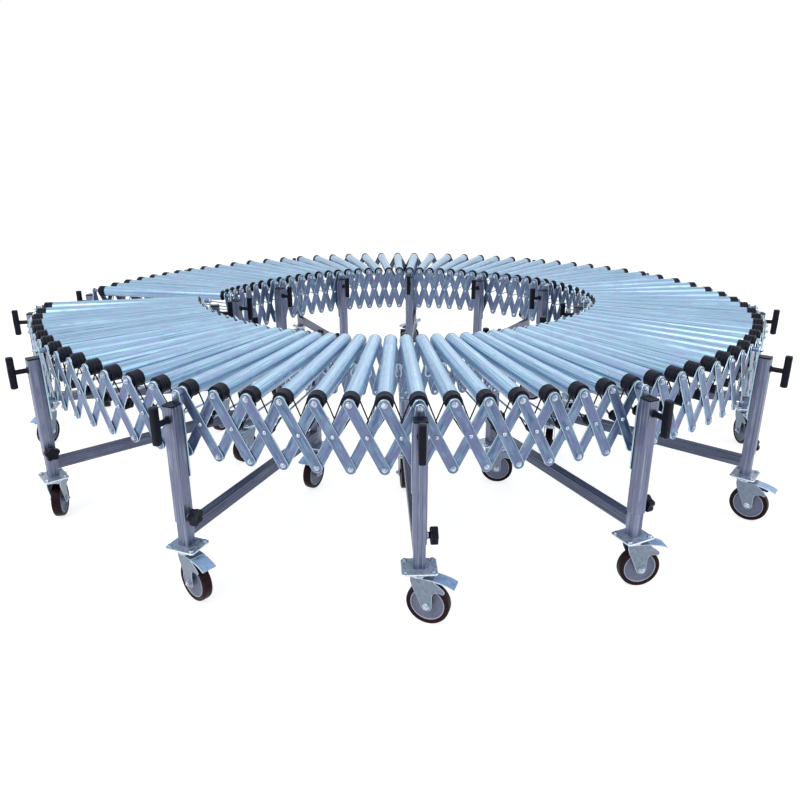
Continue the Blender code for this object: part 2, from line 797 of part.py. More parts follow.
def build_caster(stand, side, name):
    """A caster whose fork swivels and whose wheel turns."""
    frame = caster_frame(stand, side)
    pieces = fork(frame)
    if stand != OPEN_STAND:
        pieces.append(pedal(frame, -JOIN_OVERLAP))
    build_node(f"caster_fork_{name}", pieces, "zinc", frame.translation)
    wheel_centre = frame @ Vector((TRAIL, 0, WHEEL_RADIUS))
    build_node(f"caster_wheel_{name}", [wheel(frame)], "tyre", wheel_centre)
    if stand == OPEN_STAND:
        build_pedal(frame, name)


def build_pedal(frame, name):
    """A brake pedal of its own, which tips about its root on the fork."""
    start = TRAIL / 2 + CHEEK_TOP_WIDTH / 2 + PEDAL_ROOT_GAP
    root = frame @ Vector((start, 0, CROWN_BOTTOM + PEDAL_THICKNESS / 2))
    build_node(f"brake_pedal_{name}", [pedal(frame, PEDAL_ROOT_GAP)], "pedal", root)


def open_roller(station):
    """A roller of its own: tube, grooved sleeve and bore."""
    bore = running_bore(AXLE_RADIUS, ROLLER_SIDES)
    half = ROLLER_HALF_LENGTH
    sleeve = half - SLEEVE_LENGTH
    profile = (
        (-half, bore),
        (-half, ROLLER_RADIUS - ROLLER_CHAMFER),
        (-half + ROLLER_CHAMFER, ROLLER_RADIUS),
        (sleeve, ROLLER_RADIUS),
        (sleeve, SLEEVE_RADIUS),
        (half, SLEEVE_RADIUS),
        (half, bore),
    )
    return turned(station_frame(station), 0, (0, 0, 0), profile, ROLLER_SIDES, closed=True)


def open_links(stand, side):
    """The links of the open module in two layers, with a pin at each pivot."""
    stations = module_stations(stand)
    pieces = []
    for here, there in zip(stations, stations[1:]):
        pieces.append(link(side, here, there, OUTER_LAYER))
        pieces.append(link(side, there, here, INNER_LAYER))
    pieces += crossing_links(stand, side)
    return pieces


def open_pins(stand, side):
    """The middle and lower pins of the open module's links."""
    stations = module_stations(stand)
    inside = INNER_LAYER + LINK_THICKNESS / 2
    outside = OUTER_LAYER + LINK_THICKNESS / 2
    pieces = [middle_pin(side, station) for station in stations[:-1]]
    for station in stations[1:-1]:
        pieces.append(link_pin(side, station, -pivot_drop(side, station), inside, outside, PIN_RADIUS))
    return pieces


def open_axle_end(station, stand):
    """Where an open module's axle ends, inside the outermost link or hanger that it carries."""
    stations = module_stations(stand)
    if station == stand_station(stand):
        return HANGER_OFFSET + HANGER_THICKNESS / 2
    if station == stations[-1]:
        return CROSSING_LAYER_OUT + LINK_THICKNESS / 2
    return OUTER_LAYER + LINK_THICKNESS / 2


def build_open_lattices(stand):
    """The outer lattice with the axles, and the inner lattice that their far ends meet."""
    middle = mid_line(stand_station(stand))
    outer = open_links(stand, 1) + open_pins(stand, 1) + [hanger(stand, 1, HANGER_THICKNESS)]
    inner = open_links(stand, -1) + open_pins(stand, -1) + [hanger(stand, -1, HANGER_THICKNESS)]
    stations = module_stations(stand)
    for station in stations:
        frame = station_frame(station)
        end = open_axle_end(station, stand)
        meeting = CROSSING_LAYER_IN if station == stations[0] else INNER_LAYER
        outer.append(rod(frame, 0, (0, 0, 0), FIT_GAP - meeting, end, AXLE_RADIUS, AXLE_SIDES))
        start = CROSSING_LAYER_IN if station == stations[0] else INNER_LAYER
        inner.append(link_pin(-1, station, 0, start + LINK_THICKNESS / 2, end, PIN_RADIUS))
    build_node("outer_lattice", outer, "zinc", middle)
    build_node("inner_lattice", inner, "zinc", middle)


def build_open_leg(stand, side, name):
    """A post with its handle and its clamp knob, as nodes of their own."""
    frame = floor_frame(stand, side)
    half = POST_WIDTH / 2
    knob_frame = frame @ Matrix.Rotation(0 if knob_way(side) > 0 else math.pi, 4, "Z")
    past = half + OVERRUN
    knob_bore = running_bore(KNOB_SCREW_RADIUS, AXLE_SIDES)
    stem_bore = STEM_SCREW_RADIUS + FIT_GAP
    knob_hole = rod(knob_frame, 1, (0, 0, KNOB_HEIGHT), 0, past, knob_bore, AXLE_SIDES)
    stem_hole = rod(frame, 0, (0, 0, HANDLE_HEIGHT), 0, past, stem_bore, AXLE_SIDES)
    origin = frame @ Vector((0, 0, POST_TOP))
    build_node(f"post_{name}", [post(stand, side)], "aluminium", origin, [knob_hole, stem_hole])
    pieces = handle(stand, side, True, half + FIT_GAP)
    screw_end = half + FIT_GAP + OVERRUN
    screw = rod(frame, 0, (0, 0, HANDLE_HEIGHT), half - POST_WALL, screw_end, STEM_SCREW_RADIUS, AXLE_SIDES)
    build_node(f"pull_handle_{name}", pieces + [screw], "plastic", frame @ Vector((half, 0, HANDLE_HEIGHT)))
    knob_origin = knob_frame @ Vector((0, half, KNOB_HEIGHT))
    build_node(f"clamp_knob_{name}", knob(stand, side, True), "plastic", knob_origin)


def build_open_module(stand):
    """The front module with every piece as a node of its own."""
    build_open_lattices(stand)
    for number, station in enumerate(module_stations(stand)):
        middle = mid_line(station)
        build_node(f"roller_{number + 1}", [open_roller(station)], "galvanised", middle)
    origin = mid_line(stand_station(stand))
    build_node(f"lower_frame_{stand:02d}", lower_frame(stand, True), "aluminium", origin)
    for side, name in ((1, "outer"), (-1, "inner")):
        build_open_leg(stand, side, name)
        build_caster(stand, side, f"{stand:02d}_{name}")


def build():
    """The whole conveyor."""
    for thing in list(bpy.data.objects):
        bpy.data.objects.remove(thing, do_unlink=True)
    for stand in range(1, STAND_COUNT + 1):
        if stand == OPEN_STAND:
            build_open_module(stand)
        else:
            build_joined_deck(stand)
            build_lower_frame(stand)
    for stand in SWIVEL_STANDS:
        build_caster(stand, 1, f"{stand:02d}_outer")


build()
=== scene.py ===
"""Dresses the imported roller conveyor: detailed pieces, materials, studio and camera."""

import math
import random

import bpy
import numpy as np
from mathutils import Matrix, Vector


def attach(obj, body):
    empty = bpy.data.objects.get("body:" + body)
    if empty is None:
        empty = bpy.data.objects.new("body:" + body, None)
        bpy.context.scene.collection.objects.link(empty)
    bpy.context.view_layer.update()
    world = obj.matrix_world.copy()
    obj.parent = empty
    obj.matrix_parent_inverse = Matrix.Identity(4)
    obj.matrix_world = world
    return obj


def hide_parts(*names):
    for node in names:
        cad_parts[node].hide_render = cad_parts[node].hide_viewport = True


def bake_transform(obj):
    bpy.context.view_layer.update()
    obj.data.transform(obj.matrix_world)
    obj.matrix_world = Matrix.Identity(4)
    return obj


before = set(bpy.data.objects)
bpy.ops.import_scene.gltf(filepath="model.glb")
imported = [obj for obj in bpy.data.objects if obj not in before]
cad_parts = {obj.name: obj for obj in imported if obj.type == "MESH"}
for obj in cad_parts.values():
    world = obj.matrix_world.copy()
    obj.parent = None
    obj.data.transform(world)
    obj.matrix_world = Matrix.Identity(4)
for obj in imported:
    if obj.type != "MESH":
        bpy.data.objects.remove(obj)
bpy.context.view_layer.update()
scene = bpy.context.scene
chance = random.Random(11)

# Plan of the ring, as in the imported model
STAND_COUNT = 13
CELLS = 7
REACH = 3
ROLLER_COUNT = 85
RING_RADIUS = 1.18
RING_CENTRE = (0.0260, -0.0111)
ANGLES = (-115.0, -82.9, -54.5, -25.4, 1.4, 27.9, 54.3, 82.1, 114.9, 145.6, 176.6, 207.1, 238.6, 264.0, 289.0)
RADIUS_SHARES = (
    1.144, 1.108, 1.039, 1.003, 0.981, 0.986, 1.019, 1.062, 1.049, 1.0, 1.002, 1.0, 0.997, 1.046, 1.075,
)
OPEN_STAND = 4
SWIVEL_STANDS = (1, 2, 3, 5, 6, 7, 13)
OUTER_HEADINGS = (262, 103, -41, -20, 6, -40, -91, -60, 150, 200, 215, 240, 110)
INNER_HEADINGS = (250, 240, 248, 95, -10, 75, 110, 150, 120, 190, 175, 230, 80)

# Rollers, links and hangers
AXLE_HEIGHT = 0.655
LAYER_OFFSET = 0.350
LINK_LENGTH = 0.216
LINK_WIDTH = 0.033
LINK_THICKNESS = 0.003
INNER_LAYER = 0.350
OUTER_LAYER = 0.3545
LINK_FACE = 0.3577
HANGER_FACE = 0.380
HANGER_THICKNESS = 0.0045

# Legs, with heights above the floor
POST_WIDTH = 0.040
POST_OFFSET = 0.4048
POST_TOP = 0.635
POST_BOTTOM = 0.2603
PLATE_TOP = 0.1783
BEAM_MIDDLE = 0.2263
TUBE_TOP = 0.574
HANDLE_HEIGHT = 0.5925
KNOB_HEIGHT = 0.2803

# Casters
WHEEL_RADIUS = 0.066
TRAIL = 0.030
CROWN_BOTTOM = 0.151
CROWN_TOP = 0.155
CHEEK_INSIDE = 0.0215
CHEEK_THICKNESS = 0.003
PEDAL_START = 0.0507
WHEEL_NUT_FACE = 0.0247

# Sleeve grooves, pulleys and belts
GROOVES = (0.3205, 0.3325)
GROOVE_RADIUS = 0.0218
PULLEY_GROOVE = 0.0122
BELT_RADIUS = 0.0022
BELT_TOP_STEPS = 24
BELT_LOW_STEPS = 10
PULLEY_MIDDLE = 0.3265

# Fasteners and small parts
BRACKET_FACE = 0.3455
ROD_RADIUS = 0.0034
ROD_SIDES = 10
HANGER_BOLT_DROPS = (0.214, 0.240)
HANGER_BOLT_SIDE = 0.012
HANDLE_REACH = 0.0708
PLATE_THICKNESS = 0.005
BEAM_END_INSET = 0.0172
BEAM_WIDTH_SHARE = 0.85
PLATE_BOLT_X = 0.0305
PLATE_BOLT_Y = 0.0405
KNOB_LOBE_ANGLE = 72
NUT_FACE_ANGLE = 60


def smooth(values, place):
    cell = min(max(math.floor(place), 0), len(values) - 4)
    share = place - cell
    before, start, end, after = values[cell : cell + 4]
    linear = (end - before) * share
    square = (2 * before - 5 * start + 4 * end - after) * share**2
    cube = (3 * start - before - 3 * end + after) * share**3
    return (2 * start + linear + square + cube) / 2


def mid_line(station):
    place = station / CELLS
    angle = math.radians(smooth(ANGLES, place))
    radius = RING_RADIUS * smooth(RADIUS_SHARES, place)
    aside = RING_CENTRE[0] + radius * math.sin(angle)
    ahead = RING_CENTRE[1] - radius * math.cos(angle)
    return Vector((aside, ahead, AXLE_HEIGHT))


def station_frame(station):
    along = (mid_line(station + 0.05) - mid_line(station - 0.05)).normalized()
    up = Vector((0, 0, 1))
    axes = Matrix((along.cross(up), along, up)).transposed().to_4x4()
    return Matrix.Translation(mid_line(station)) @ axes


def move(x, y, z):
    return Matrix.Translation((x, y, z))


def turn(angle, axis):
    return Matrix.Rotation(math.radians(angle), 4, axis)


X_TO_Y = turn(90, "Z")
X_TO_Z = turn(-90, "Y")
Y_TO_Z = turn(90, "X")
FACE_OUT = Matrix(((0, 0, 1), (1, 0, 0), (0, 1, 0))).to_4x4()
HANG = Matrix(((0, 0, 1, 0), (0, 1, 0, 0), (-1, 0, 0, 0), (0, 0, 0, 1)))


def side_frame(station, side):
    """A station's axes with x away from the mid-line on that side."""
    return station_frame(station) @ turn(0 if side > 0 else 180, "Z")


def stand_station(stand):
    return (stand - 1) * CELLS


def module_stations(stand):
    middle = stand_station(stand)
    return range(max(middle - REACH, 0), min(middle + REACH, ROLLER_COUNT - 1) + 1)


def floor_frame(stand, side):
    return side_frame(stand_station(stand), side) @ move(POST_OFFSET, 0, -AXLE_HEIGHT)


def caster_frame(stand, side):
    heading = (OUTER_HEADINGS if side > 0 else INNER_HEADINGS)[stand - 1]
    return Matrix.Translation(floor_frame(stand, side).translation) @ turn(heading, "Z")


def knob_frame(stand, side):
    return floor_frame(stand, side) @ turn(0 if side > 0 else 180, "Z")


def pivot(side, station, up=0.0, layer=LAYER_OFFSET):
    return side_frame(station, side) @ Vector((layer, 0, up))


def pivot_drop(side, station):
    drops = []
    for other in (station - 1, station + 1):
        if 0 <= other < ROLLER_COUNT:
            pitch = (pivot(side, other) - pivot(side, station)).length
            drops.append(math.sqrt(LINK_LENGTH**2 - pitch**2))
    return sum(drops) / len(drops)


def middle_up(side, cell):
    return -(pivot_drop(side, cell) + pivot_drop(side, cell + 1)) / 4


# Shapes: points, faces and how strongly each point takes the painted edge highlight
def loft(rings, closed=False, edges=None):
    count = len(rings[0])
    rows = len(rings)
    faces = []
    for row in range(rows if closed else rows - 1):
        following = (row + 1) % rows
        for corner in range(count):
            beside = (corner + 1) % count
            faces.append((
                row * count + corner, row * count + beside,
                following * count + beside, following * count + corner,
            ))
    if not closed:
        faces.append(tuple(reversed(range(count))))
        faces.append(tuple((rows - 1) * count + corner for corner in range(count)))
    marks = np.repeat(np.array(edges if edges else [0.0] * rows, float), count)
    return np.concatenate([np.array(ring, float) for ring in rings]), faces, marks


def lathe(profile, sides, closed=False, edges=None):
    """A shape turned about x from (x, radius) rows."""
    angles = np.arange(sides) * 2 * math.pi / sides
    rings = [
        np.stack((np.full(sides, x), radius * np.cos(angles), radius * np.sin(angles)), axis=1)
        for x, radius in profile
    ]
    return loft(rings, closed, edges)


def inset(outline, reach):
    """The outline moved inward, kept counter-clockwise."""
    points = np.array(outline, float)
    ahead = np.roll(points, -1, axis=0) - points
    ahead /= np.linalg.norm(ahead, axis=1, keepdims=True)
    inward = np.stack((-ahead[:, 1], ahead[:, 0]), axis=1)
    behind = np.roll(inward, 1, axis=0)
    middle = inward + behind
    middle /= np.linalg.norm(middle, axis=1, keepdims=True)
    scale = np.clip((middle * inward).sum(axis=1, keepdims=True), 0.35, 1)
    return points + middle * reach / scale


def plate(outline, thickness, chamfer=0.0004, rim=0.0016):
    """A plate with its outline in x and y and its thickness from z 0 up."""
    levels = (
        (rim, 0, 0), (chamfer, 0, 1), (0, chamfer, 1),
        (0, thickness - chamfer, 1), (chamfer, thickness, 1), (rim, thickness, 0),
    )
    rings = []
    for reach, z in (level[:2] for level in levels):
        shrunk = inset(outline, reach)
        rings.append(np.column_stack((shrunk, np.full(len(shrunk), z))))
    return loft(rings, edges=[level[2] for level in levels])


def bar(section, start, end, chamfer=0.0005, rim=0.0015):
    """A bar along x with its section in y and z."""
    levels = (
        (rim, start, 0), (chamfer, start, 1), (0, start + chamfer, 1), (0, start + 0.004, 0),
        (0, end - 0.004, 0), (0, end - chamfer, 1), (chamfer, end, 1), (rim, end, 0),
    )
    rings = []
    for reach, x in (level[:2] for level in levels):
        shrunk = inset(section, reach)
        rings.append(np.column_stack((np.full(len(shrunk), x), shrunk)))
    return loft(rings, edges=[level[2] for level in levels])


def loop_tube(path, axis, radius, sides=8):
    """A closed round tube along a loop that lies across the axis."""
    path = np.array(path, float)
    ahead = np.roll(path, -1, axis=0) - np.roll(path, 1, axis=0)
    ahead /= np.linalg.norm(ahead, axis=1, keepdims=True)
    axis = np.array(axis, float)
    aside = np.cross(ahead, axis)
    aside /= np.linalg.norm(aside, axis=1, keepdims=True)
    other = np.cross(ahead, aside)
    rings = []
    for centre, u, v in zip(path, aside, other):
        angles = np.arange(sides) * 2 * math.pi / sides
        rings.append(centre + radius * (np.outer(np.cos(angles), u) + np.outer(np.sin(angles), v)))
    return loft(rings, closed=True)


def joined(*shapes):
    """Several shapes, each with its matrix or None, as one."""
    points = []
    faces = []
    marks = []
    count = 0
    for shape, matrix in shapes:
        place = np.array(matrix if matrix is not None else Matrix.Identity(4))
        points.append(shape[0] @ place[:3, :3].T + place[:3, 3])
        faces += [tuple(corner + count for corner in face) for face in shape[1]]
        marks.append(shape[2])
        count += len(shape[0])
    return np.concatenate(points), faces, np.concatenate(marks)


def arc(centre, radius, start, end, steps):
    """Points of an arc, in degrees, both ends included."""
    angles = [math.radians(start + (end - start) * step / steps) for step in range(steps + 1)]
    return [(centre[0] + radius * math.cos(a), centre[1] + radius * math.sin(a)) for a in angles]


def rounded(half_x, half_y, radius, steps=4):
    """A rectangle with rounded corners, counter-clockwise."""
    outline = []
    for number, (x, y) in enumerate(((1, 1), (-1, 1), (-1, -1), (1, -1))):
        centre = (x * (half_x - radius), y * (half_y - radius))
        outline += arc(centre, radius, 90 * number, 90 * number + 90, steps)
    return outline


def grooved(half, radius=0.003, groove=0.0011, depth=0.0009, places=(-0.0065, 0.0065)):
    """An extruded square section with shallow grooves along each face."""
    outline = []
    for number in range(4):
        face = [(half, -half + radius)]
        for place in places:
            face += [
                (half, place - groove), (half - depth, place - 0.4 * groove),
                (half - depth, place + 0.4 * groove), (half, place + groove),
            ]
        face += arc((half - radius, half - radius), radius, 0, 90, 4)[:-1]
        angle = math.radians(90 * number)
        across, along = math.cos(angle), math.sin(angle)
        outline += [(x * across - y * along, x * along + y * across) for x, y in face]
    return outline


def square_ring(points, half):
    """A square with blunt corners and as many points as the list, for the bore of a hollow section."""
    outline = []
    for x, y in points:
        angle = math.atan2(y, x)
        reach = min(half / max(abs(math.cos(angle)), abs(math.sin(angle))), half * 1.36)
        outline.append((reach * math.cos(angle), reach * math.sin(angle)))
    return outline


# Materials
def nodes_of(name):
    material = bpy.data.materials.new(name)
    material.use_nodes = True
    return material, material.node_tree.nodes, material.node_tree.links


def finish_look(
    name, base, other, tint, metallic, rough, streak, scale, bump, edge_highlight=None, edge_highlight_strength=0.6, shine=0.5,
):
    """A procedural finish: long streaks along the grain, clouds across it and a painted highlight on marked
    edges.
    """
    material, nodes, links = nodes_of(name)
    shader = nodes["Principled BSDF"]
    shader.inputs["Metallic"].default_value = metallic
    shader.inputs["Specular IOR Level"].default_value = shine
    grain = nodes.new("ShaderNodeAttribute")
    grain.attribute_name = "grain"
    stretch = nodes.new("ShaderNodeMapping")
    stretch.inputs["Scale"].default_value = streak
    links.new(grain.outputs["Vector"], stretch.inputs["Vector"])
    streaks = nodes.new("ShaderNodeTexNoise")
    streaks.inputs["Scale"].default_value = 1.0
    streaks.inputs["Detail"].default_value = 3.0
    links.new(stretch.outputs["Vector"], streaks.inputs["Vector"])
    clouds = nodes.new("ShaderNodeTexNoise")
    clouds.inputs["Scale"].default_value = scale
    clouds.inputs["Detail"].default_value = 2.0
    links.new(grain.outputs["Vector"], clouds.inputs["Vector"])
    ramp = nodes.new("ShaderNodeValToRGB")
    ramp.color_ramp.elements[0].position = 0.36
    ramp.color_ramp.elements[0].color = (*base, 1)
    ramp.color_ramp.elements[1].position = 0.64
    ramp.color_ramp.elements[1].color = (*other, 1)
    links.new(streaks.outputs["Fac"], ramp.inputs["Fac"])
    mask = nodes.new("ShaderNodeMapRange")
    mask.inputs["From Min"].default_value = 0.42
    mask.inputs["From Max"].default_value = 0.66
    links.new(clouds.outputs["Fac"], mask.inputs["Value"])
    tinted = nodes.new("ShaderNodeMix")
    tinted.data_type = "RGBA"
    tinted.inputs["B"].default_value = (*tint, 1)
    links.new(mask.outputs["Result"], tinted.inputs["Factor"])
    links.new(ramp.outputs["Color"], tinted.inputs["A"])
    colour = tinted.outputs["Result"]
    # Painted highlight: points marked near an edge are mixed towards a lighter edge colour, standing in for
    # light catching the edges.
    if edge_highlight:
        rim = nodes.new("ShaderNodeAttribute")
        rim.attribute_name = "edge_highlight"
        edge_highlight_mix = nodes.new("ShaderNodeMath")
        edge_highlight_mix.operation = "MULTIPLY"
        edge_highlight_mix.inputs[1].default_value = edge_highlight_strength
        links.new(rim.outputs["Fac"], edge_highlight_mix.inputs[0])
        bright = nodes.new("ShaderNodeMix")
        bright.data_type = "RGBA"
        bright.inputs["B"].default_value = (*edge_highlight, 1)
        links.new(edge_highlight_mix.outputs["Value"], bright.inputs["Factor"])
        links.new(colour, bright.inputs["A"])
        colour = bright.outputs["Result"]
    links.new(colour, shader.inputs["Base Color"])
    dull = nodes.new("ShaderNodeMapRange")
    dull.inputs["From Min"].default_value = 0.3
    dull.inputs["From Max"].default_value = 0.7
    dull.inputs["To Min"].default_value = rough[0]
    dull.inputs["To Max"].default_value = rough[1]
    links.new(streaks.outputs["Fac"], dull.inputs["Value"])
    links.new(dull.outputs["Result"], shader.inputs["Roughness"])
    relief = nodes.new("ShaderNodeBump")
    relief.inputs["Strength"].default_value = bump
    relief.inputs["Distance"].default_value = 0.001
    links.new(streaks.outputs["Fac"], relief.inputs["Height"])
    links.new(relief.outputs["Normal"], shader.inputs["Normal"])
    return material


# In the looks below, each edge colour is a painted highlight on the marked edges, and its strength sets how
# far those edges are lit up.
LOOKS = {
    "galvanised": finish_look(
        "galvanised_tube", (0.19, 0.34, 0.50), (0.46, 0.71, 0.90), (0.34, 0.47, 0.70),
        0.70, (0.24, 0.40), (2.5, 240, 240), 20, 0.12,
    ),
    "zinc": finish_look(
        "zinc_plate", (0.085, 0.14, 0.25), (0.22, 0.33, 0.48), (0.17, 0.185, 0.35),
        0.68, (0.28, 0.44), (16, 110, 110), 34, 0.10, edge_highlight=(0.62, 0.84, 0.94), edge_highlight_strength=0.85,
    ),
    "bright": finish_look(
        "bright_fastener", (0.34, 0.42, 0.53), (0.66, 0.76, 0.85), (0.46, 0.49, 0.60),
        0.9, (0.18, 0.36), (160, 160, 160), 120, 0.12,
    ),
    "aluminium": finish_look(
        "extruded_aluminium", (0.11, 0.13, 0.205), (0.29, 0.33, 0.455), (0.185, 0.20, 0.31),
        0.7, (0.30, 0.46), (2, 150, 150), 14, 0.10, edge_highlight=(0.46, 0.54, 0.66), edge_highlight_strength=0.55,
    ),
    # A darker copy of the post aluminium for the cross beam: painted shade for its place under the deck.
    "beam": finish_look(
        "aluminium_with_painted_shade", (0.065, 0.078, 0.125), (0.17, 0.195, 0.28), (0.115, 0.12, 0.195),
        0.7, (0.30, 0.46), (2, 150, 150), 14, 0.10, edge_highlight=(0.36, 0.42, 0.54), edge_highlight_strength=0.55,
    ),
    "fork": finish_look(
        "pressed_zinc", (0.17, 0.22, 0.29), (0.27, 0.33, 0.41), (0.22, 0.26, 0.35),
        0.62, (0.32, 0.48), (90, 90, 90), 45, 0.12, edge_highlight=(0.66, 0.78, 0.88), edge_highlight_strength=0.85,
    ),
    # The caster plates' zinc colour lifted into a lighter copy: painted light, with near-white painted
    # highlights on their edges.
    "plate": finish_look(
        "zinc_plate_with_painted_light", (0.26, 0.33, 0.42), (0.50, 0.60, 0.72), (0.38, 0.43, 0.56),
        0.55, (0.24, 0.40), (120, 120, 120), 60, 0.14, edge_highlight=(0.82, 0.92, 1.0), edge_highlight_strength=0.9,
    ),
    "plastic": finish_look(
        "moulded_plastic", (0.003, 0.004, 0.010), (0.007, 0.009, 0.019), (0.005, 0.006, 0.017),
        0.0, (0.30, 0.44), (240, 240, 240), 60, 0.12, edge_highlight=(0.035, 0.045, 0.085), edge_highlight_strength=0.6, shine=0.14,
    ),
    "belt": finish_look(
        "belt_rubber", (0.006, 0.006, 0.009), (0.012, 0.012, 0.016), (0.008, 0.008, 0.012),
        0.0, (0.45, 0.62), (300, 300, 300), 90, 0.15, shine=0.2,
    ),
    "tyre": finish_look(
        "tyre_rubber", (0.006, 0.002, 0.004), (0.013, 0.004, 0.007), (0.034, 0.007, 0.012),
        0.0, (0.36, 0.55), (150, 150, 150), 40, 0.15, edge_highlight=(0.050, 0.022, 0.028), edge_highlight_strength=0.5, shine=0.12,
    ),
    "hub": finish_look(
        "hub_casting", (0.13, 0.16, 0.24), (0.22, 0.25, 0.36), (0.18, 0.20, 0.31),
        0.2, (0.45, 0.62), (200, 200, 200), 70, 0.20, edge_highlight=(0.56, 0.60, 0.74), edge_highlight_strength=0.9,
    ),
    "pedal": finish_look(
        "pedal_plate", (0.28, 0.43, 0.67), (0.42, 0.60, 0.87), (0.34, 0.49, 0.75),
        0.45, (0.28, 0.42), (80, 80, 80), 50, 0.10, edge_highlight=(0.78, 0.92, 1.0), edge_highlight_strength=0.9,
    ),
}


class Piece:
    """One named piece of the scene, built up from shapes."""

    def __init__(self, name, look):
        self.name = name
        self.look = look
        self.points = []
        self.grains = []
        self.marks = []
        self.faces = []
        self.count = 0

    def add(self, shape, matrix):
        points, faces, marks = shape
        place = np.array(matrix)
        offset = np.array([chance.uniform(-9, 9) for _ in range(3)])
        self.points.append(points @ place[:3, :3].T + place[:3, 3])
        self.grains.append(points + offset)
        self.marks.append(marks)
        start = self.count
        self.faces += [tuple(corner + start for corner in face) for face in faces]
        self.count += len(points)

    def make(self, body=None, nodes=(), blend=None):
        if not self.points:
            return None
        mesh = bpy.data.meshes.new(self.name)
        mesh.from_pydata(np.concatenate(self.points).tolist(), [], self.faces)
        grain = mesh.attributes.new("grain", "FLOAT_VECTOR", "POINT")
        grain.data.foreach_set("vector", np.concatenate(self.grains).astype(np.float32).ravel())
        # The edge mark per point, which the materials turn into a painted highlight.
        edge_highlight = mesh.attributes.new("edge_highlight", "FLOAT", "POINT")
        edge_highlight.data.foreach_set("value", np.concatenate(self.marks).astype(np.float32))
        mesh.shade_smooth()
        mesh.set_sharp_from_angle(angle=math.radians(32))
        mesh.materials.append(LOOKS[self.look])
        thing = bpy.data.objects.new(self.name, mesh)
        scene.collection.objects.link(thing)
        if blend:
            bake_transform(thing)
        else:
            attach(thing, body)
        if nodes:
            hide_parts(*nodes)
        return thing


# Templates, built once
TUBE = lathe(
    ((-0.3335, 0.0215), (-0.3335, 0.0243), (-0.3328, 0.0250), (0.3092, 0.0250), (0.3092, 0.0215)), 40,
)
INNER_CAP = lathe(
    (
        (-0.3420, 0.0095), (-0.3420, 0.0160), (-0.3382, 0.0205), (-0.3376, 0.0236),
        (-0.3362, 0.0252), (-0.3332, 0.0252), (-0.3330, 0.0215),
    ),
    40, edges=(0, 0, 0, 0, 1, 0, 0),
)


def mirrored(rows):
    """A turned profile and its other half, as one closed loop."""
    return [(-x, radius, mark) for x, radius, mark in rows] + list(rows[::-1])


def lathe_rows(rows, sides, shift=0.0, closed=False):
    """Turns (x, radius, mark) rows about x."""
    return lathe([(shift + row[0], row[1]) for row in rows], sides, closed, [row[2] for row in rows])


def sleeve_shape():
    """The black sleeve: a full rim against the tube, then fine grooves up to the links."""
    rows = [
        (0.3084, 0.0215, 0), (0.3084, 0.0252, 0), (0.3089, 0.0260, 1),
        (0.3096, 0.0264, 1), (0.3116, 0.0264, 1), (0.3124, 0.0258, 0),
    ]
    # The groove crests are marked for the painted edge highlight.
    for middle in (0.3145, 0.3205, 0.3265, 0.3325, 0.3385):
        depth = GROOVE_RADIUS if middle in GROOVES else 0.0238
        rows += [
            (middle - 0.0016, 0.0256, 1), (middle - 0.0009, depth + 0.0006, 0), (middle, depth, 0),
            (middle + 0.0009, depth + 0.0006, 0), (middle + 0.0016, 0.0256, 1), (middle + 0.0030, 0.0258, 0),
        ]
    rows += [
        (0.3430, 0.0256, 1), (0.3440, 0.0244, 0), (0.3444, 0.0190, 0),
        (0.3474, 0.0180, 1), (0.3480, 0.0170, 0), (0.3480, 0.0080, 0),
    ]
    return lathe_rows(rows, 40)


SLEEVE = sleeve_shape()
SPACER = lathe(((0.3425, 0.0062), (0.3425, 0.0072), (0.3496, 0.0072), (0.3496, 0.0062)), 16)
STUB_AXLE = lathe(((0.3484, 0.0040), (LINK_FACE, 0.0040)), 12)
WASHER = lathe(
    ((0, 0.0045), (0, 0.0090), (0.0003, 0.0094), (0.0010, 0.0094), (0.0013, 0.0090), (0.0013, 0.0045)), 24,
)
HEX = lathe(((0.0013, 0.0073), (0.0056, 0.0073), (0.0064, 0.0061)), 6)
STUB = lathe(((0.0060, 0.0040), (0.0092, 0.0040), (0.0098, 0.0033)), 12)
NUT_HEAD = joined((WASHER, None), (HEX, None), (STUB, None))
DOME = lathe(
    (
        (0.0000, 0.0068), (0.0010, 0.0067), (0.0024, 0.0058),
        (0.0035, 0.0042), (0.0040, 0.0020), (0.0041, 0.0004),
    ), 20,
)
DOME_HEAD = joined((DOME, None), (lathe(((0.0030, 0.0030), (0.0062, 0.0030), (0.0067, 0.0024)), 12), None))
LOW_NUT = joined(
    (lathe(((0, 0.0042), (0, 0.0084), (0.0011, 0.0084), (0.0011, 0.0042)), 24), None),
    (lathe(((0.0011, 0.0070), (0.0054, 0.0070), (0.0061, 0.0059)), 6), None),
    (lathe(((0.0054, 0.0036), (0.0080, 0.0036), (0.0085, 0.0030)), 12), None),
)
BACK_HEAD = lathe(((0, 0.0066), (0.0034, 0.0066), (0.0040, 0.0058)), 6)
HANGER_SPACER = lathe(((0.3577, 0.0060), (0.3577, 0.0085), (0.3797, 0.0085), (0.3797, 0.0060)), 18)
PULLEY_ROWS = (
    (-0.0133, 0.0060, 0), (-0.0133, 0.0155, 1), (-0.0125, 0.0166, 1), (-0.0100, 0.0166, 1),
    (-0.0080, 0.0150, 0),
    (-0.0068, 0.0126, 0), (-0.0060, PULLEY_GROOVE, 0), (-0.0052, 0.0126, 0), (-0.0038, 0.0150, 0),
    (-0.0018, 0.0164, 1), (0.0018, 0.0164, 1),
    (0.0038, 0.0150, 0), (0.0052, 0.0126, 0), (0.0060, PULLEY_GROOVE, 0), (0.0068, 0.0126, 0),
    (0.0080, 0.0150, 0), (0.0100, 0.0166, 1), (0.0125, 0.0166, 1), (0.0133, 0.0155, 1), (0.0133, 0.0060, 0),
)
PULLEY = lathe_rows(PULLEY_ROWS, 28, PULLEY_MIDDLE)


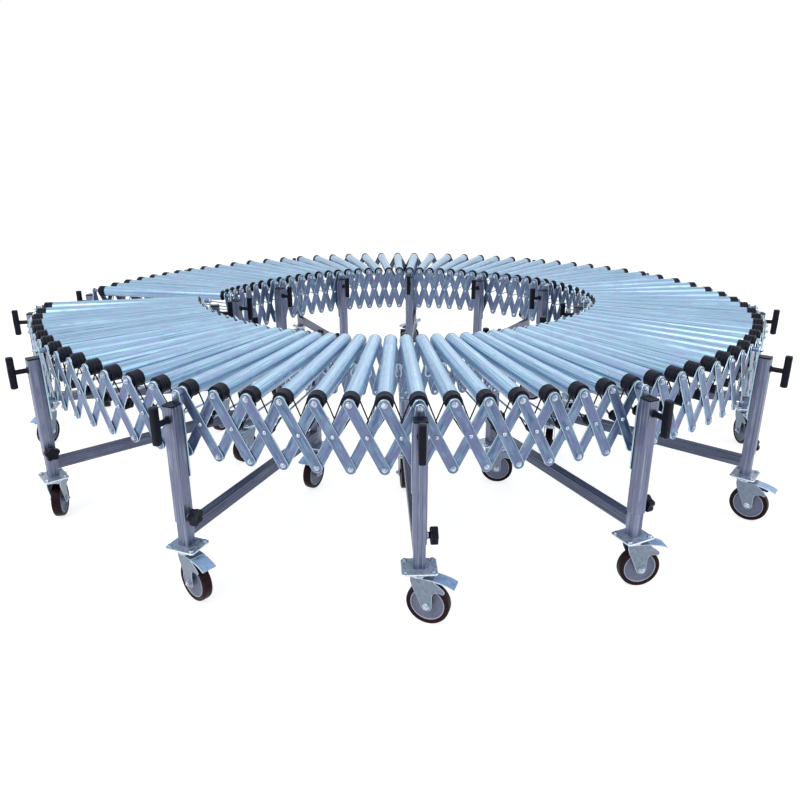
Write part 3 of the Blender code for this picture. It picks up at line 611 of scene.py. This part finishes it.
def link_shape():
    half = LINK_WIDTH / 2
    outline = arc((LINK_LENGTH, 0), half, -90, 90, 10) + arc((0, 0), half, 90, 270, 10)
    return plate(outline, LINK_THICKNESS, 0.0005, 0.0017)


def bracket_shape():
    """A small rounded plate with a dark hole, hung on the middle rod."""
    rounds = arc((0, 0), 0.0135, 180, 0, 10) + arc((0, -0.030), 0.0135, 0, -180, 10)
    outer = [(-x, y) for x, y in rounds][::-1]
    hole = []
    for x, y in outer:
        angle = math.atan2(y + 0.028, x)
        hole.append((0.0065 * math.cos(angle), -0.028 + 0.0065 * math.sin(angle)))
    rings = []
    marks = []
    for ring, z, mark in ((outer, 0, 1), (outer, 0.002, 1), (hole, 0.002, 0), (hole, 0, 0)):
        rings.append(np.column_stack((np.array(ring), np.full(len(ring), z))))
        marks.append(mark)
    return loft(rings, closed=True, edges=marks)


HANGER_OUTLINE = (
    arc((0.249, 0.017), 0.006, 0, 90, 4) + [(0.060, 0.023), (0.044, 0.0215), (0.018, 0.0150)]
    + arc((0.0, 0.0), 0.0138, 75, 285, 14) + [(0.018, -0.0150), (0.044, -0.0215), (0.060, -0.023)]
    + arc((0.249, -0.017), 0.006, -90, 0, 4)
)
HANGER = plate(HANGER_OUTLINE, HANGER_THICKNESS, 0.0006, 0.0020)
LINK = link_shape()
BRACKET = bracket_shape()


def post_shape():
    section = grooved(POST_WIDTH / 2)
    bore = square_ring(section, 0.0178)
    rows = (
        (bore, POST_TOP - 0.012, 0), (bore, POST_BOTTOM, 0), (inset(section, 0.0005), POST_BOTTOM, 0),
        (section, POST_BOTTOM + 0.0005, 0), (section, POST_BOTTOM + 0.005, 0),
        (section, POST_TOP - 0.0055, 0),
    )
    rings = [np.column_stack((np.full(len(row[0]), row[1]), np.array(row[0]))) for row in rows]
    return loft(rings, edges=[row[2] for row in rows])


POST = post_shape()
CAP = bar(rounded(0.0199, 0.0199, 0.0035), POST_TOP - 0.0056, POST_TOP, 0.0016, 0.004)
TUBE_SECTION = grooved(0.0175, 0.0025, 0.0010, 0.0008, (-0.006, 0.006))
INNER_TUBE = bar(TUBE_SECTION, PLATE_TOP, TUBE_TOP)
BEAM_SQUARE = grooved(0.020, 0.003, 0.0016, 0.0012, (-0.0095, 0.0, 0.0095))
BEAM_SECTION = [(y * BEAM_WIDTH_SHARE, z) for y, z in BEAM_SQUARE]
BEAM_HALF = POST_OFFSET - BEAM_END_INSET
BEAM = bar(BEAM_SECTION, -BEAM_HALF, BEAM_HALF)
STEM = lathe_rows((
    (0.0202, 0.0118, 0), (0.0222, 0.0124, 1), (0.0240, 0.0118, 1), (0.0252, 0.0090, 0),
    (0.0600, 0.0088, 0), (0.0640, 0.0102, 0), (0.0720, 0.0108, 0),
), 24)


def grip_shape():
    """The upright bar of a pull handle: a soft-edged bar, a little fuller in its middle."""
    rings = []
    marks = []
    half = 0.0575
    for place, share, mark in (
        (-half, 0.55, 0), (-half + 0.0006, 0.80, 1), (-half + 0.002, 0.93, 1), (-half + 0.006, 0.99, 0),
        (-0.030, 0.97, 0), (-0.014, 1.0, 0), (0.014, 1.0, 0), (0.030, 0.97, 0),
        (half - 0.006, 0.99, 0), (half - 0.002, 0.93, 1), (half - 0.0006, 0.80, 1), (half, 0.55, 0),
    ):
        ring = np.array(rounded(0.0104 * share, 0.0116 * share, 0.005 * share, 5))
        rings.append(np.column_stack((np.full(len(ring), place), ring)))
        marks.append(mark)
    return loft(rings, edges=marks)


GRIP = grip_shape()
GRIP_PLUG = lathe(
    ((-0.0592, 0.0030), (-0.0592, 0.0056), (-0.0584, 0.0064), (-0.0572, 0.0064), (-0.0572, 0.0030)), 18,
)


def knob_shape():
    """A five-lobed star knob with a dished face, and its neck."""
    angles = np.arange(60) * 2 * math.pi / 60
    lobes = 0.5 + 0.5 * np.cos(5 * angles)
    rim = 0.0205 + 0.0068 * lobes**0.8
    rings = []
    marks = []
    for x, share, mark in (
        (0.0300, 0.72, 0), (0.0304, 0.90, 0), (0.0318, 0.98, 1), (0.0340, 1.0, 0), (0.0492, 1.0, 0),
        (0.0514, 0.98, 1), (0.0527, 0.92, 1), (0.0530, 0.80, 0), (0.0527, 0.42, 0), (0.0516, 0.30, 0),
    ):
        radius = rim * share if share > 0.6 else np.full(60, 0.0240 * share)
        rings.append(np.stack((np.full(60, x), radius * np.cos(angles), radius * np.sin(angles)), axis=1))
        marks.append(mark)
    neck = lathe(((0.0262, 0.0085), (0.0262, 0.0094), (0.0290, 0.0096), (0.0306, 0.0120)), 24)
    return joined((loft(rings, edges=marks), None), (neck, None))


KNOB = knob_shape()
KNOB_NUT = joined(
    (lathe((
        (0.0202, 0.0040), (0.0202, 0.0126), (0.0208, 0.0130),
        (0.0218, 0.0130), (0.0222, 0.0126), (0.0222, 0.0040),
    ), 24), None),
    (lathe(((0.0222, 0.0100), (0.0252, 0.0100), (0.0260, 0.0088)), 6), None),
    (lathe(((0.0256, 0.0038), (0.0268, 0.0038)), 12), None),
)
CASTER_PLATE = plate(rounded(0.0425, 0.0525, 0.009, 5), PLATE_THICKNESS, 0.0007, 0.0028)
PLATE_BOLT = joined(
    (lathe(((0, 0.0045), (0, 0.0092), (0.0012, 0.0092), (0.0012, 0.0045)), 22), None),
    (lathe(((0.0012, 0.0072), (0.0052, 0.0072), (0.0059, 0.0062)), 6), None),
)
SWIVEL_ROWS = (
    (0.0000, 0.0200, 0), (0.0000, 0.0275, 0), (0.0014, 0.0290, 0), (0.0024, 0.0298, 1),
    (0.0066, 0.0298, 1), (0.0076, 0.0290, 1), (0.0082, 0.0270, 0), (0.0096, 0.0270, 0),
    (0.0102, 0.0288, 1), (0.0110, 0.0297, 1), (0.0150, 0.0297, 1), (0.0160, 0.0286, 1),
    (0.0168, 0.0250, 0), (0.0179, 0.0246, 0), (0.0179, 0.0180, 0),
)
SWIVEL = lathe_rows(SWIVEL_ROWS, 40, CROWN_TOP - 0.0002)


def fork_shapes():
    foot = arc((TRAIL, WHEEL_RADIUS), 0.0165, 205, 352, 12)
    side = TRAIL + 0.0163
    opening = [(side, 0.0960)] + [
        (side + 0.013 * (1 - math.cos(a)), 0.0960 + 0.0205 * math.sin(a))
        for a in (0.3, 0.6, 0.9, 1.2, 1.5)
    ]
    beak = [
        (0.0690, 0.1172), (0.0760, 0.1150), (0.0812, 0.1164), (0.0840, 0.1208), (0.0832, 0.1258),
        (0.0780, 0.1322), (0.0680, 0.1400), (0.0570, 0.1468), (0.0500, CROWN_TOP - 0.0002),
    ]
    back = [(-0.0200, CROWN_TOP - 0.0002), (-0.0200, 0.1420), (-0.0165, 0.1290), (-0.0010, 0.0970)]
    cheek = plate(foot + opening + beak + back, CHEEK_THICKNESS, 0.0005, 0.0015)
    crown = plate([(x + 0.015, y) for x, y in rounded(0.035, 0.0244, 0.004)], 0.004, 0.0008, 0.002)
    return joined(
        (cheek, move(0, CHEEK_INSIDE + CHEEK_THICKNESS, 0) @ Y_TO_Z),
        (cheek, move(0, -CHEEK_INSIDE, 0) @ Y_TO_Z),
        (crown, move(0, 0, CROWN_BOTTOM)),
    )


FORK = fork_shapes()
BOLT_SCALE = Matrix.Scale(1.28, 4)
WHEEL_BOLT = joined(
    (LOW_NUT, move(0, WHEEL_NUT_FACE, 0) @ X_TO_Y @ BOLT_SCALE),
    (LOW_NUT, turn(180, "Z") @ move(0, WHEEL_NUT_FACE, 0) @ X_TO_Y @ BOLT_SCALE),
    (lathe(((-0.0244, 0.0040), (0.0244, 0.0040)), 12), X_TO_Y),
)
TYRE_ROWS = mirrored((
    (0.0100, 0.0518, 0), (0.0130, 0.0524, 0), (0.0146, 0.0536, 1), (0.0152, 0.0560, 0),
    (0.0159, 0.0590, 0), (0.0160, 0.0606, 0), (0.0154, 0.0630, 0), (0.0140, 0.0646, 1),
    (0.0116, 0.0656, 0), (0.0080, 0.0660, 0),
))
TYRE = lathe_rows(TYRE_ROWS, 48, closed=True)
# The marked rows near the rim take the painted highlight ring.
HUB_ROWS = mirrored((
    (0.0200, 0.0060, 0), (0.0200, 0.0108, 0), (0.0190, 0.0118, 0), (0.0118, 0.0130, 0),
    (0.0098, 0.0160, 0), (0.0096, 0.0280, 0), (0.0086, 0.0292, 0), (0.0086, 0.0440, 0),
    (0.0096, 0.0468, 0), (0.0130, 0.0486, 0.2), (0.0138, 0.0492, 1), (0.0138, 0.0514, 1),
    (0.0130, 0.0519, 0.6),
))
HUB = lathe_rows(HUB_ROWS, 48, closed=True)


def pedal_shape():
    """A ribbed strip that falls away from the fork, with rolled sides and a bent toe."""
    length = 0.0613
    fall = 0.013
    top = []
    bottom = []
    steps = 60
    for step in range(steps + 1):
        x = length * step / steps
        bow = 0.0022 * math.sin(math.pi * min(x / length, 1.0)) - 0.0022 * (x / length) ** 6
        rib = 0.0006 * (1 if (step // 3) % 2 == 0 and 0.010 < x < length - 0.008 else 0)
        top.append((x, 0.0024 + rib - fall * x / length + bow))
        bottom.append((x, 0.0002 - fall * x / length + bow))
    outline = np.array(bottom + top[::-1])
    flat = np.array(bottom + [(x, z + 0.0028) for x, z in bottom[::-1]])
    rings = []
    marks = []
    for y, section, mark in (
        (-0.0239, flat, 1), (-0.0222, flat, 1), (-0.0218, outline, 0),
        (0.0218, outline, 0), (0.0222, flat, 1), (0.0239, flat, 1),
    ):
        rings.append(np.column_stack((section[:, 0], np.full(len(section), y), section[:, 1])))
        marks.append(mark)
    return loft(rings[::-1], edges=marks)


PEDAL = pedal_shape()


def link_matrix(side, top, low, layer):
    """Places a link from a top pivot to the low pivot of the next station, with z away from the rollers."""
    start = pivot(side, top, 0, layer)
    end = pivot(side, low, -pivot_drop(side, low), layer)
    ahead = (end - start).normalized()
    outward = (side_frame(top, side).col[0].to_3d() + side_frame(low, side).col[0].to_3d()).normalized()
    aside = outward.cross(ahead).normalized()
    outward = ahead.cross(aside)
    middle = (start + end) / 2 - ahead * LINK_LENGTH / 2
    return Matrix.Translation(middle) @ Matrix((ahead, aside, outward)).transposed().to_4x4()


def add_cell(cell, links_outer, links_inner, bolts, rods, brackets, pulleys, belts):
    """The links, rod, pulley and belts between two neighbouring rollers."""
    for side in (1, -1):
        outer, inner = ((cell, cell + 1), (cell + 1, cell))
        links_outer.add(LINK, link_matrix(side, *outer, OUTER_LAYER))
        links_inner.add(LINK, link_matrix(side, *inner, INNER_LAYER))
        middle = side_frame(cell + 0.5, side) @ move(0, 0, middle_up(side, cell))
        bolts.add(DOME_HEAD, middle @ move(LINK_FACE, 0, 0))
        brackets.add(BRACKET, middle @ move(BRACKET_FACE, 0, 0) @ FACE_OUT)
    here = side_frame(cell + 0.5, 1) @ Vector((LINK_FACE, 0, middle_up(1, cell)))
    there = side_frame(cell + 0.5, -1) @ Vector((LINK_FACE, 0, middle_up(-1, cell)))
    ahead = here - there
    length = ahead.length
    ahead.normalize()
    aside = Vector((0, 0, 1)).cross(ahead).normalized()
    axes = Matrix((ahead, aside, ahead.cross(aside))).transposed().to_4x4()
    rods.add(lathe(((0, ROD_RADIUS), (length, ROD_RADIUS)), ROD_SIDES), Matrix.Translation(there) @ axes)
    hub = Matrix.Translation(here - ahead * LINK_FACE) @ axes
    pulleys.add(PULLEY, hub)
    for groove, station in ((GROOVES[0], cell), (GROOVES[1], cell + 1)):
        above = station_frame(station) @ Vector((groove, 0, 0))
        below = hub @ Vector((groove, 0, 0))
        axis = (station_frame(station).col[0].to_3d() + ahead).normalized()
        down = below - above
        down -= axis * down.dot(axis)
        reach = down.length
        down.normalize()
        across = axis.cross(down)
        big = GROOVE_RADIUS + BELT_RADIUS
        small = PULLEY_GROOVE + BELT_RADIUS
        lean = math.acos((big - small) / reach)
        path = []
        for step in range(BELT_TOP_STEPS + 1):
            angle = lean + (2 * math.pi - 2 * lean) * step / BELT_TOP_STEPS
            path.append(above + big * (down * math.cos(angle) + across * math.sin(angle)))
        for step in range(BELT_LOW_STEPS + 1):
            angle = -lean + 2 * lean * step / BELT_LOW_STEPS
            path.append(below + small * (down * math.cos(angle) + across * math.sin(angle)))
        belts.add(loop_tube(path, axis, BELT_RADIUS), Matrix.Identity(4))


def add_pivots(station, bolts, axles, spacers):
    """What a station's own axle and low pivots carry on both sides."""
    for side in (1, -1):
        place = side_frame(station, side)
        stand_here = station % CELLS == 0
        face = HANGER_FACE + HANGER_THICKNESS if stand_here else LINK_FACE
        axles.add(STUB_AXLE, place)
        axles.add(SPACER, place)
        low = place @ move(0, 0, -pivot_drop(side, station))
        if stand_here:
            spacers.add(HANGER_SPACER, place)
            spacers.add(HANGER_SPACER, low)
            bolts.add(NUT_HEAD, place @ move(face, 0, 0))
            bolts.add(BACK_HEAD, low @ move(INNER_LAYER, 0, 0) @ turn(180, "Z"))
        else:
            bolts.add(NUT_HEAD, place @ move(face, 0, 0) @ turn(chance.uniform(0, NUT_FACE_ANGLE), "X"))
            bolts.add(LOW_NUT, low @ move(LINK_FACE, 0, 0) @ turn(chance.uniform(0, NUT_FACE_ANGLE), "X"))
            bolts.add(BACK_HEAD, low @ move(INNER_LAYER, 0, 0) @ turn(180, "Z"))


def build_module(stand):
    tag = f"{stand:02d}"
    body = f"module_{tag}"
    deck = [] if stand == OPEN_STAND else [f"deck_{tag}"]
    outer = ["outer_lattice"] if stand == OPEN_STAND else deck
    inner = ["inner_lattice"] if stand == OPEN_STAND else deck
    stations = module_stations(stand)
    links_outer = Piece(f"links_outer_{tag}", "zinc")
    links_inner = Piece(f"links_inner_{tag}", "zinc")
    bolts = Piece(f"link_bolts_{tag}", "bright")
    axles = Piece(f"axle_ends_{tag}", "bright")
    rods = Piece(f"cross_rods_{tag}", "bright")
    brackets = Piece(f"pulley_brackets_{tag}", "zinc")
    pulleys = Piece(f"middle_pulleys_{tag}", "plastic")
    belts = Piece(f"drive_belts_{tag}", "belt")
    hangers = Piece(f"hanger_plates_{tag}", "zinc")
    tubes = Piece(f"roller_tubes_{tag}", "galvanised")
    sleeves = Piece(f"roller_sleeves_{tag}", "plastic")
    for number, station in enumerate(stations):
        place = station_frame(station)
        if stand == OPEN_STAND:
            tube = Piece(f"roller_tube_{number + 1}_of_{tag}", "galvanised")
            sleeve = Piece(f"roller_sleeve_{number + 1}_of_{tag}", "plastic")
        else:
            tube, sleeve = tubes, sleeves
        tube.add(TUBE, place)
        sleeve.add(SLEEVE, place)
        sleeve.add(INNER_CAP, place)
        if stand == OPEN_STAND:
            tube.make(f"roller_{number + 1}", [f"roller_{number + 1}"])
            sleeve.make(f"roller_{number + 1}", [f"roller_{number + 1}"])
        add_pivots(station, bolts, axles, hangers)
        if station + 1 in stations:
            add_cell(station, links_outer, links_inner, bolts, rods, brackets, pulleys, belts)
    tubes.make(body, deck)
    sleeves.make(body, deck)
    for side in (1, -1):
        place = side_frame(stand_station(stand), side)
        hangers.add(HANGER, place @ move(HANGER_FACE, 0, 0) @ HANG)
        for drop in HANGER_BOLT_DROPS:
            for along in (-HANGER_BOLT_SIDE, HANGER_BOLT_SIDE):
                bolts.add(BACK_HEAD, place @ move(HANGER_FACE, along, -drop) @ turn(180, "Z"))
    for piece in (links_outer, links_inner, bolts, axles, rods, brackets, hangers):
        piece.make(body, sorted(set(outer + inner)))
    pulleys.make(body, outer)
    belts.make(body, outer)
    build_legs(stand, tag, body, deck)


def build_legs(stand, tag, body, deck):
    """Posts, caps, pull handles and clamp knobs of a stand."""
    posts = Piece(f"posts_{tag}", "aluminium")
    caps = Piece(f"post_caps_{tag}", "plastic")
    handles = Piece(f"pull_handles_{tag}", "plastic")
    ends = Piece(f"handle_ends_{tag}", "bright")
    nuts = Piece(f"knob_nuts_{tag}", "bright")
    knobs = Piece(f"clamp_knobs_{tag}", "plastic")
    for side, name in ((1, "outer"), (-1, "inner")):
        leg = floor_frame(stand, side)
        posts.add(POST, leg @ X_TO_Z)
        caps.add(CAP, leg @ X_TO_Z)
        handles.add(STEM, leg @ move(0, 0, HANDLE_HEIGHT))
        grip = leg @ move(HANDLE_REACH, 0, HANDLE_HEIGHT) @ X_TO_Z
        handles.add(GRIP, grip)
        ends.add(GRIP_PLUG, grip)
        place = knob_frame(stand, side) @ move(0, 0, KNOB_HEIGHT) @ X_TO_Y
        spin = turn(chance.uniform(0, KNOB_LOBE_ANGLE), "X")
        if stand == OPEN_STAND:
            knob = Piece(f"star_knob_{name}", "plastic")
            knob.add(KNOB, place @ spin)
            knob.make(f"clamp_knob_{name}", [f"clamp_knob_{name}"])
        else:
            knobs.add(KNOB, place @ spin)
        nuts.add(KNOB_NUT, place)
    post_nodes = ["post_outer", "post_inner"] if stand == OPEN_STAND else deck
    handle_nodes = ["pull_handle_outer", "pull_handle_inner"] if stand == OPEN_STAND else deck
    posts.make(body, post_nodes)
    caps.make(body, post_nodes)
    handles.make(body, handle_nodes)
    ends.make(body, handle_nodes)
    nuts.make(body, post_nodes)
    knobs.make(body, deck)


def build_crossing(stand):
    """The cell between a module and the next one, baked in place without a body."""
    tag = f"{stand:02d}_{stand + 1:02d}"
    cell = module_stations(stand)[-1]
    links_outer = Piece(f"crossing_links_outer_{tag}", "zinc")
    links_inner = Piece(f"crossing_links_inner_{tag}", "zinc")
    bolts = Piece(f"crossing_bolts_{tag}", "bright")
    rods = Piece(f"crossing_rods_{tag}", "bright")
    brackets = Piece(f"crossing_brackets_{tag}", "zinc")
    pulleys = Piece(f"crossing_pulleys_{tag}", "plastic")
    belts = Piece(f"crossing_belts_{tag}", "belt")
    add_cell(cell, links_outer, links_inner, bolts, rods, brackets, pulleys, belts)
    ends = (mid_line(cell), mid_line(cell + 1))
    bodies = (f"module_{stand:02d}", f"module_{stand + 1:02d}")
    for piece in (links_outer, links_inner, bolts, rods, brackets, pulleys, belts):
        piece.make(blend=(*bodies, *ends))


def build_base(stand):
    """The lower frame, its caster plates and its casters."""
    tag = f"{stand:02d}"
    body = f"base_{tag}"
    node = [f"lower_frame_{tag}"]
    beam = Piece(f"cross_beam_{tag}", "beam")
    tubes = Piece(f"inner_tubes_{tag}", "aluminium")
    plates = Piece(f"caster_plates_{tag}", "plate")
    bolts = Piece(f"plate_bolts_{tag}", "bright")
    beam.add(BEAM, station_frame(stand_station(stand)) @ move(0, 0, BEAM_MIDDLE - AXLE_HEIGHT))
    for side, name in ((1, "outer"), (-1, "inner")):
        leg = floor_frame(stand, side)
        tubes.add(INNER_TUBE, leg @ X_TO_Z)
        plates.add(CASTER_PLATE, leg @ move(0, 0, PLATE_TOP - PLATE_THICKNESS))
        for x in (-PLATE_BOLT_X, PLATE_BOLT_X):
            for y in (-PLATE_BOLT_Y, PLATE_BOLT_Y):
                bolts.add(PLATE_BOLT, leg @ move(x, y, PLATE_TOP) @ X_TO_Z)
        loose = stand == OPEN_STAND or (side > 0 and stand in SWIVEL_STANDS)
        build_caster(stand, side, name, loose, body, node)
    beam.make(body, node)
    tubes.make(body, node)
    plates.make(body, node)
    bolts.make(body, node)


def build_caster(stand, side, name, loose, body, node):
    tag = f"{stand:02d}_{name}"
    place = caster_frame(stand, side)
    wheel = place @ move(TRAIL, 0, WHEEL_RADIUS)
    fork_body = f"caster_{tag}" if loose else body
    wheel_body = f"wheel_{tag}" if loose else body
    pedal_body = f"brake_{tag}" if stand == OPEN_STAND else fork_body
    fork_node = [f"caster_fork_{tag}"] if loose else node
    wheel_node = [f"caster_wheel_{tag}"] if loose else node
    pedal_node = [f"brake_pedal_{tag}"] if stand == OPEN_STAND else fork_node
    fork = Piece(f"fork_{tag}", "fork")
    fork.add(FORK, place)
    fork.make(fork_body, fork_node)
    rings = Piece(f"swivel_rings_{tag}", "bright")
    rings.add(SWIVEL, place @ X_TO_Z)
    rings.add(WHEEL_BOLT, wheel)
    rings.make(fork_body, fork_node)
    tyre = Piece(f"tyre_{tag}", "tyre")
    tyre.add(TYRE, wheel @ X_TO_Y)
    tyre.make(wheel_body, wheel_node)
    hub = Piece(f"wheel_hub_{tag}", "hub")
    hub.add(HUB, wheel @ X_TO_Y)
    hub.make(wheel_body, wheel_node)
    pedal = Piece(f"pedal_{tag}", "pedal")
    pedal.add(PEDAL, place @ move(PEDAL_START, 0, CROWN_BOTTOM))
    pedal.make(pedal_body, pedal_node)


for number in range(1, STAND_COUNT + 1):
    build_module(number)
    build_base(number)
    if number < STAND_COUNT:
        build_crossing(number)


# Studio
WORLD_LIGHT = 0.62
FLOOR_GLOW = 0.77
FLOOR_RADIUS = 40
FLOOR_SIDES = 64
FLOOR_DROP = 0.0004


def area_light(name, place, target, size, power, colour):
    light = bpy.data.lights.new(name, "AREA")
    light.shape = "DISK"
    light.size = size
    light.energy = power
    light.color = colour
    lamp = bpy.data.objects.new(name, light)
    lamp.location = place
    lamp.rotation_euler = (Vector(target) - Vector(place)).to_track_quat("-Z", "Y").to_euler()
    scene.collection.objects.link(lamp)


area_light("key", (-2.6, -3.4, 4.2), (0, 0, 0.5), 2.6, 90, (1.0, 0.985, 0.96))
area_light("fill", (4.0, -2.2, 3.0), (0, 0, 0.5), 3.0, 40, (0.92, 0.95, 1.0))
area_light("back", (0.6, 4.2, 3.6), (0, 0, 0.6), 3.6, 20, (0.94, 0.97, 1.0))


def seen_share(nodes, links):
    """One for camera, glossy and transmission rays, and zero for the rest."""
    path = nodes.new("ShaderNodeLightPath")
    most = nodes.new("ShaderNodeMath")
    most.operation = "MAXIMUM"
    links.new(path.outputs["Is Camera Ray"], most.inputs[0])
    links.new(path.outputs["Is Glossy Ray"], most.inputs[1])
    seen = nodes.new("ShaderNodeMath")
    seen.operation = "MAXIMUM"
    links.new(most.outputs["Value"], seen.inputs[0])
    links.new(path.outputs["Is Transmission Ray"], seen.inputs[1])
    return seen.outputs["Value"]


world = bpy.data.worlds.new("studio")
scene.world = world
world.use_nodes = True
nodes = world.node_tree.nodes
links = world.node_tree.links
background = nodes["Background"]
background.inputs["Color"].default_value = (1, 1, 1, 1)
strength = nodes.new("ShaderNodeMapRange")
strength.inputs["To Min"].default_value = WORLD_LIGHT
strength.inputs["To Max"].default_value = 1.0
links.new(seen_share(nodes, links), strength.inputs["Value"])
links.new(strength.outputs["Result"], background.inputs["Strength"])

floor_mesh = bpy.data.meshes.new("studio_floor")
floor_edge = [(*point, 0) for point in arc((0, 0), FLOOR_RADIUS, 0, 360, FLOOR_SIDES)[:-1]]
floor_mesh.from_pydata(floor_edge, [], [tuple(range(FLOOR_SIDES))])
floor = bpy.data.objects.new("studio_floor", floor_mesh)
floor.location = (0, 0, -FLOOR_DROP)
scene.collection.objects.link(floor)
floor_look, nodes, links = nodes_of("studio_floor")
floor_mesh.materials.append(floor_look)
shader = nodes["Principled BSDF"]
shader.inputs["Base Color"].default_value = (0.55, 0.55, 0.55, 1)
shader.inputs["Roughness"].default_value = 0.9
shader.inputs["Specular IOR Level"].default_value = 0.0
shader.inputs["Emission Color"].default_value = (1, 1, 1, 1)
glow = nodes.new("ShaderNodeMath")
glow.operation = "MULTIPLY"
glow.inputs[1].default_value = FLOOR_GLOW
links.new(seen_share(nodes, links), glow.inputs[0])
links.new(glow.outputs["Value"], shader.inputs["Emission Strength"])

# Camera at the photograph's viewing angle
camera = bpy.data.cameras.new("camera")
camera.sensor_width = 36
camera.lens = 29.529
camera.shift_y = -0.0264
eye = bpy.data.objects.new("camera", camera)
eye.location = (0.0165, -3.2041, 1.2823)
eye.rotation_euler = (math.pi / 2 - 0.31676, 0, 0)
scene.collection.objects.link(eye)
scene.camera = eye
scene.view_settings.view_transform = "Standard"

bpy.context.view_layer.update()
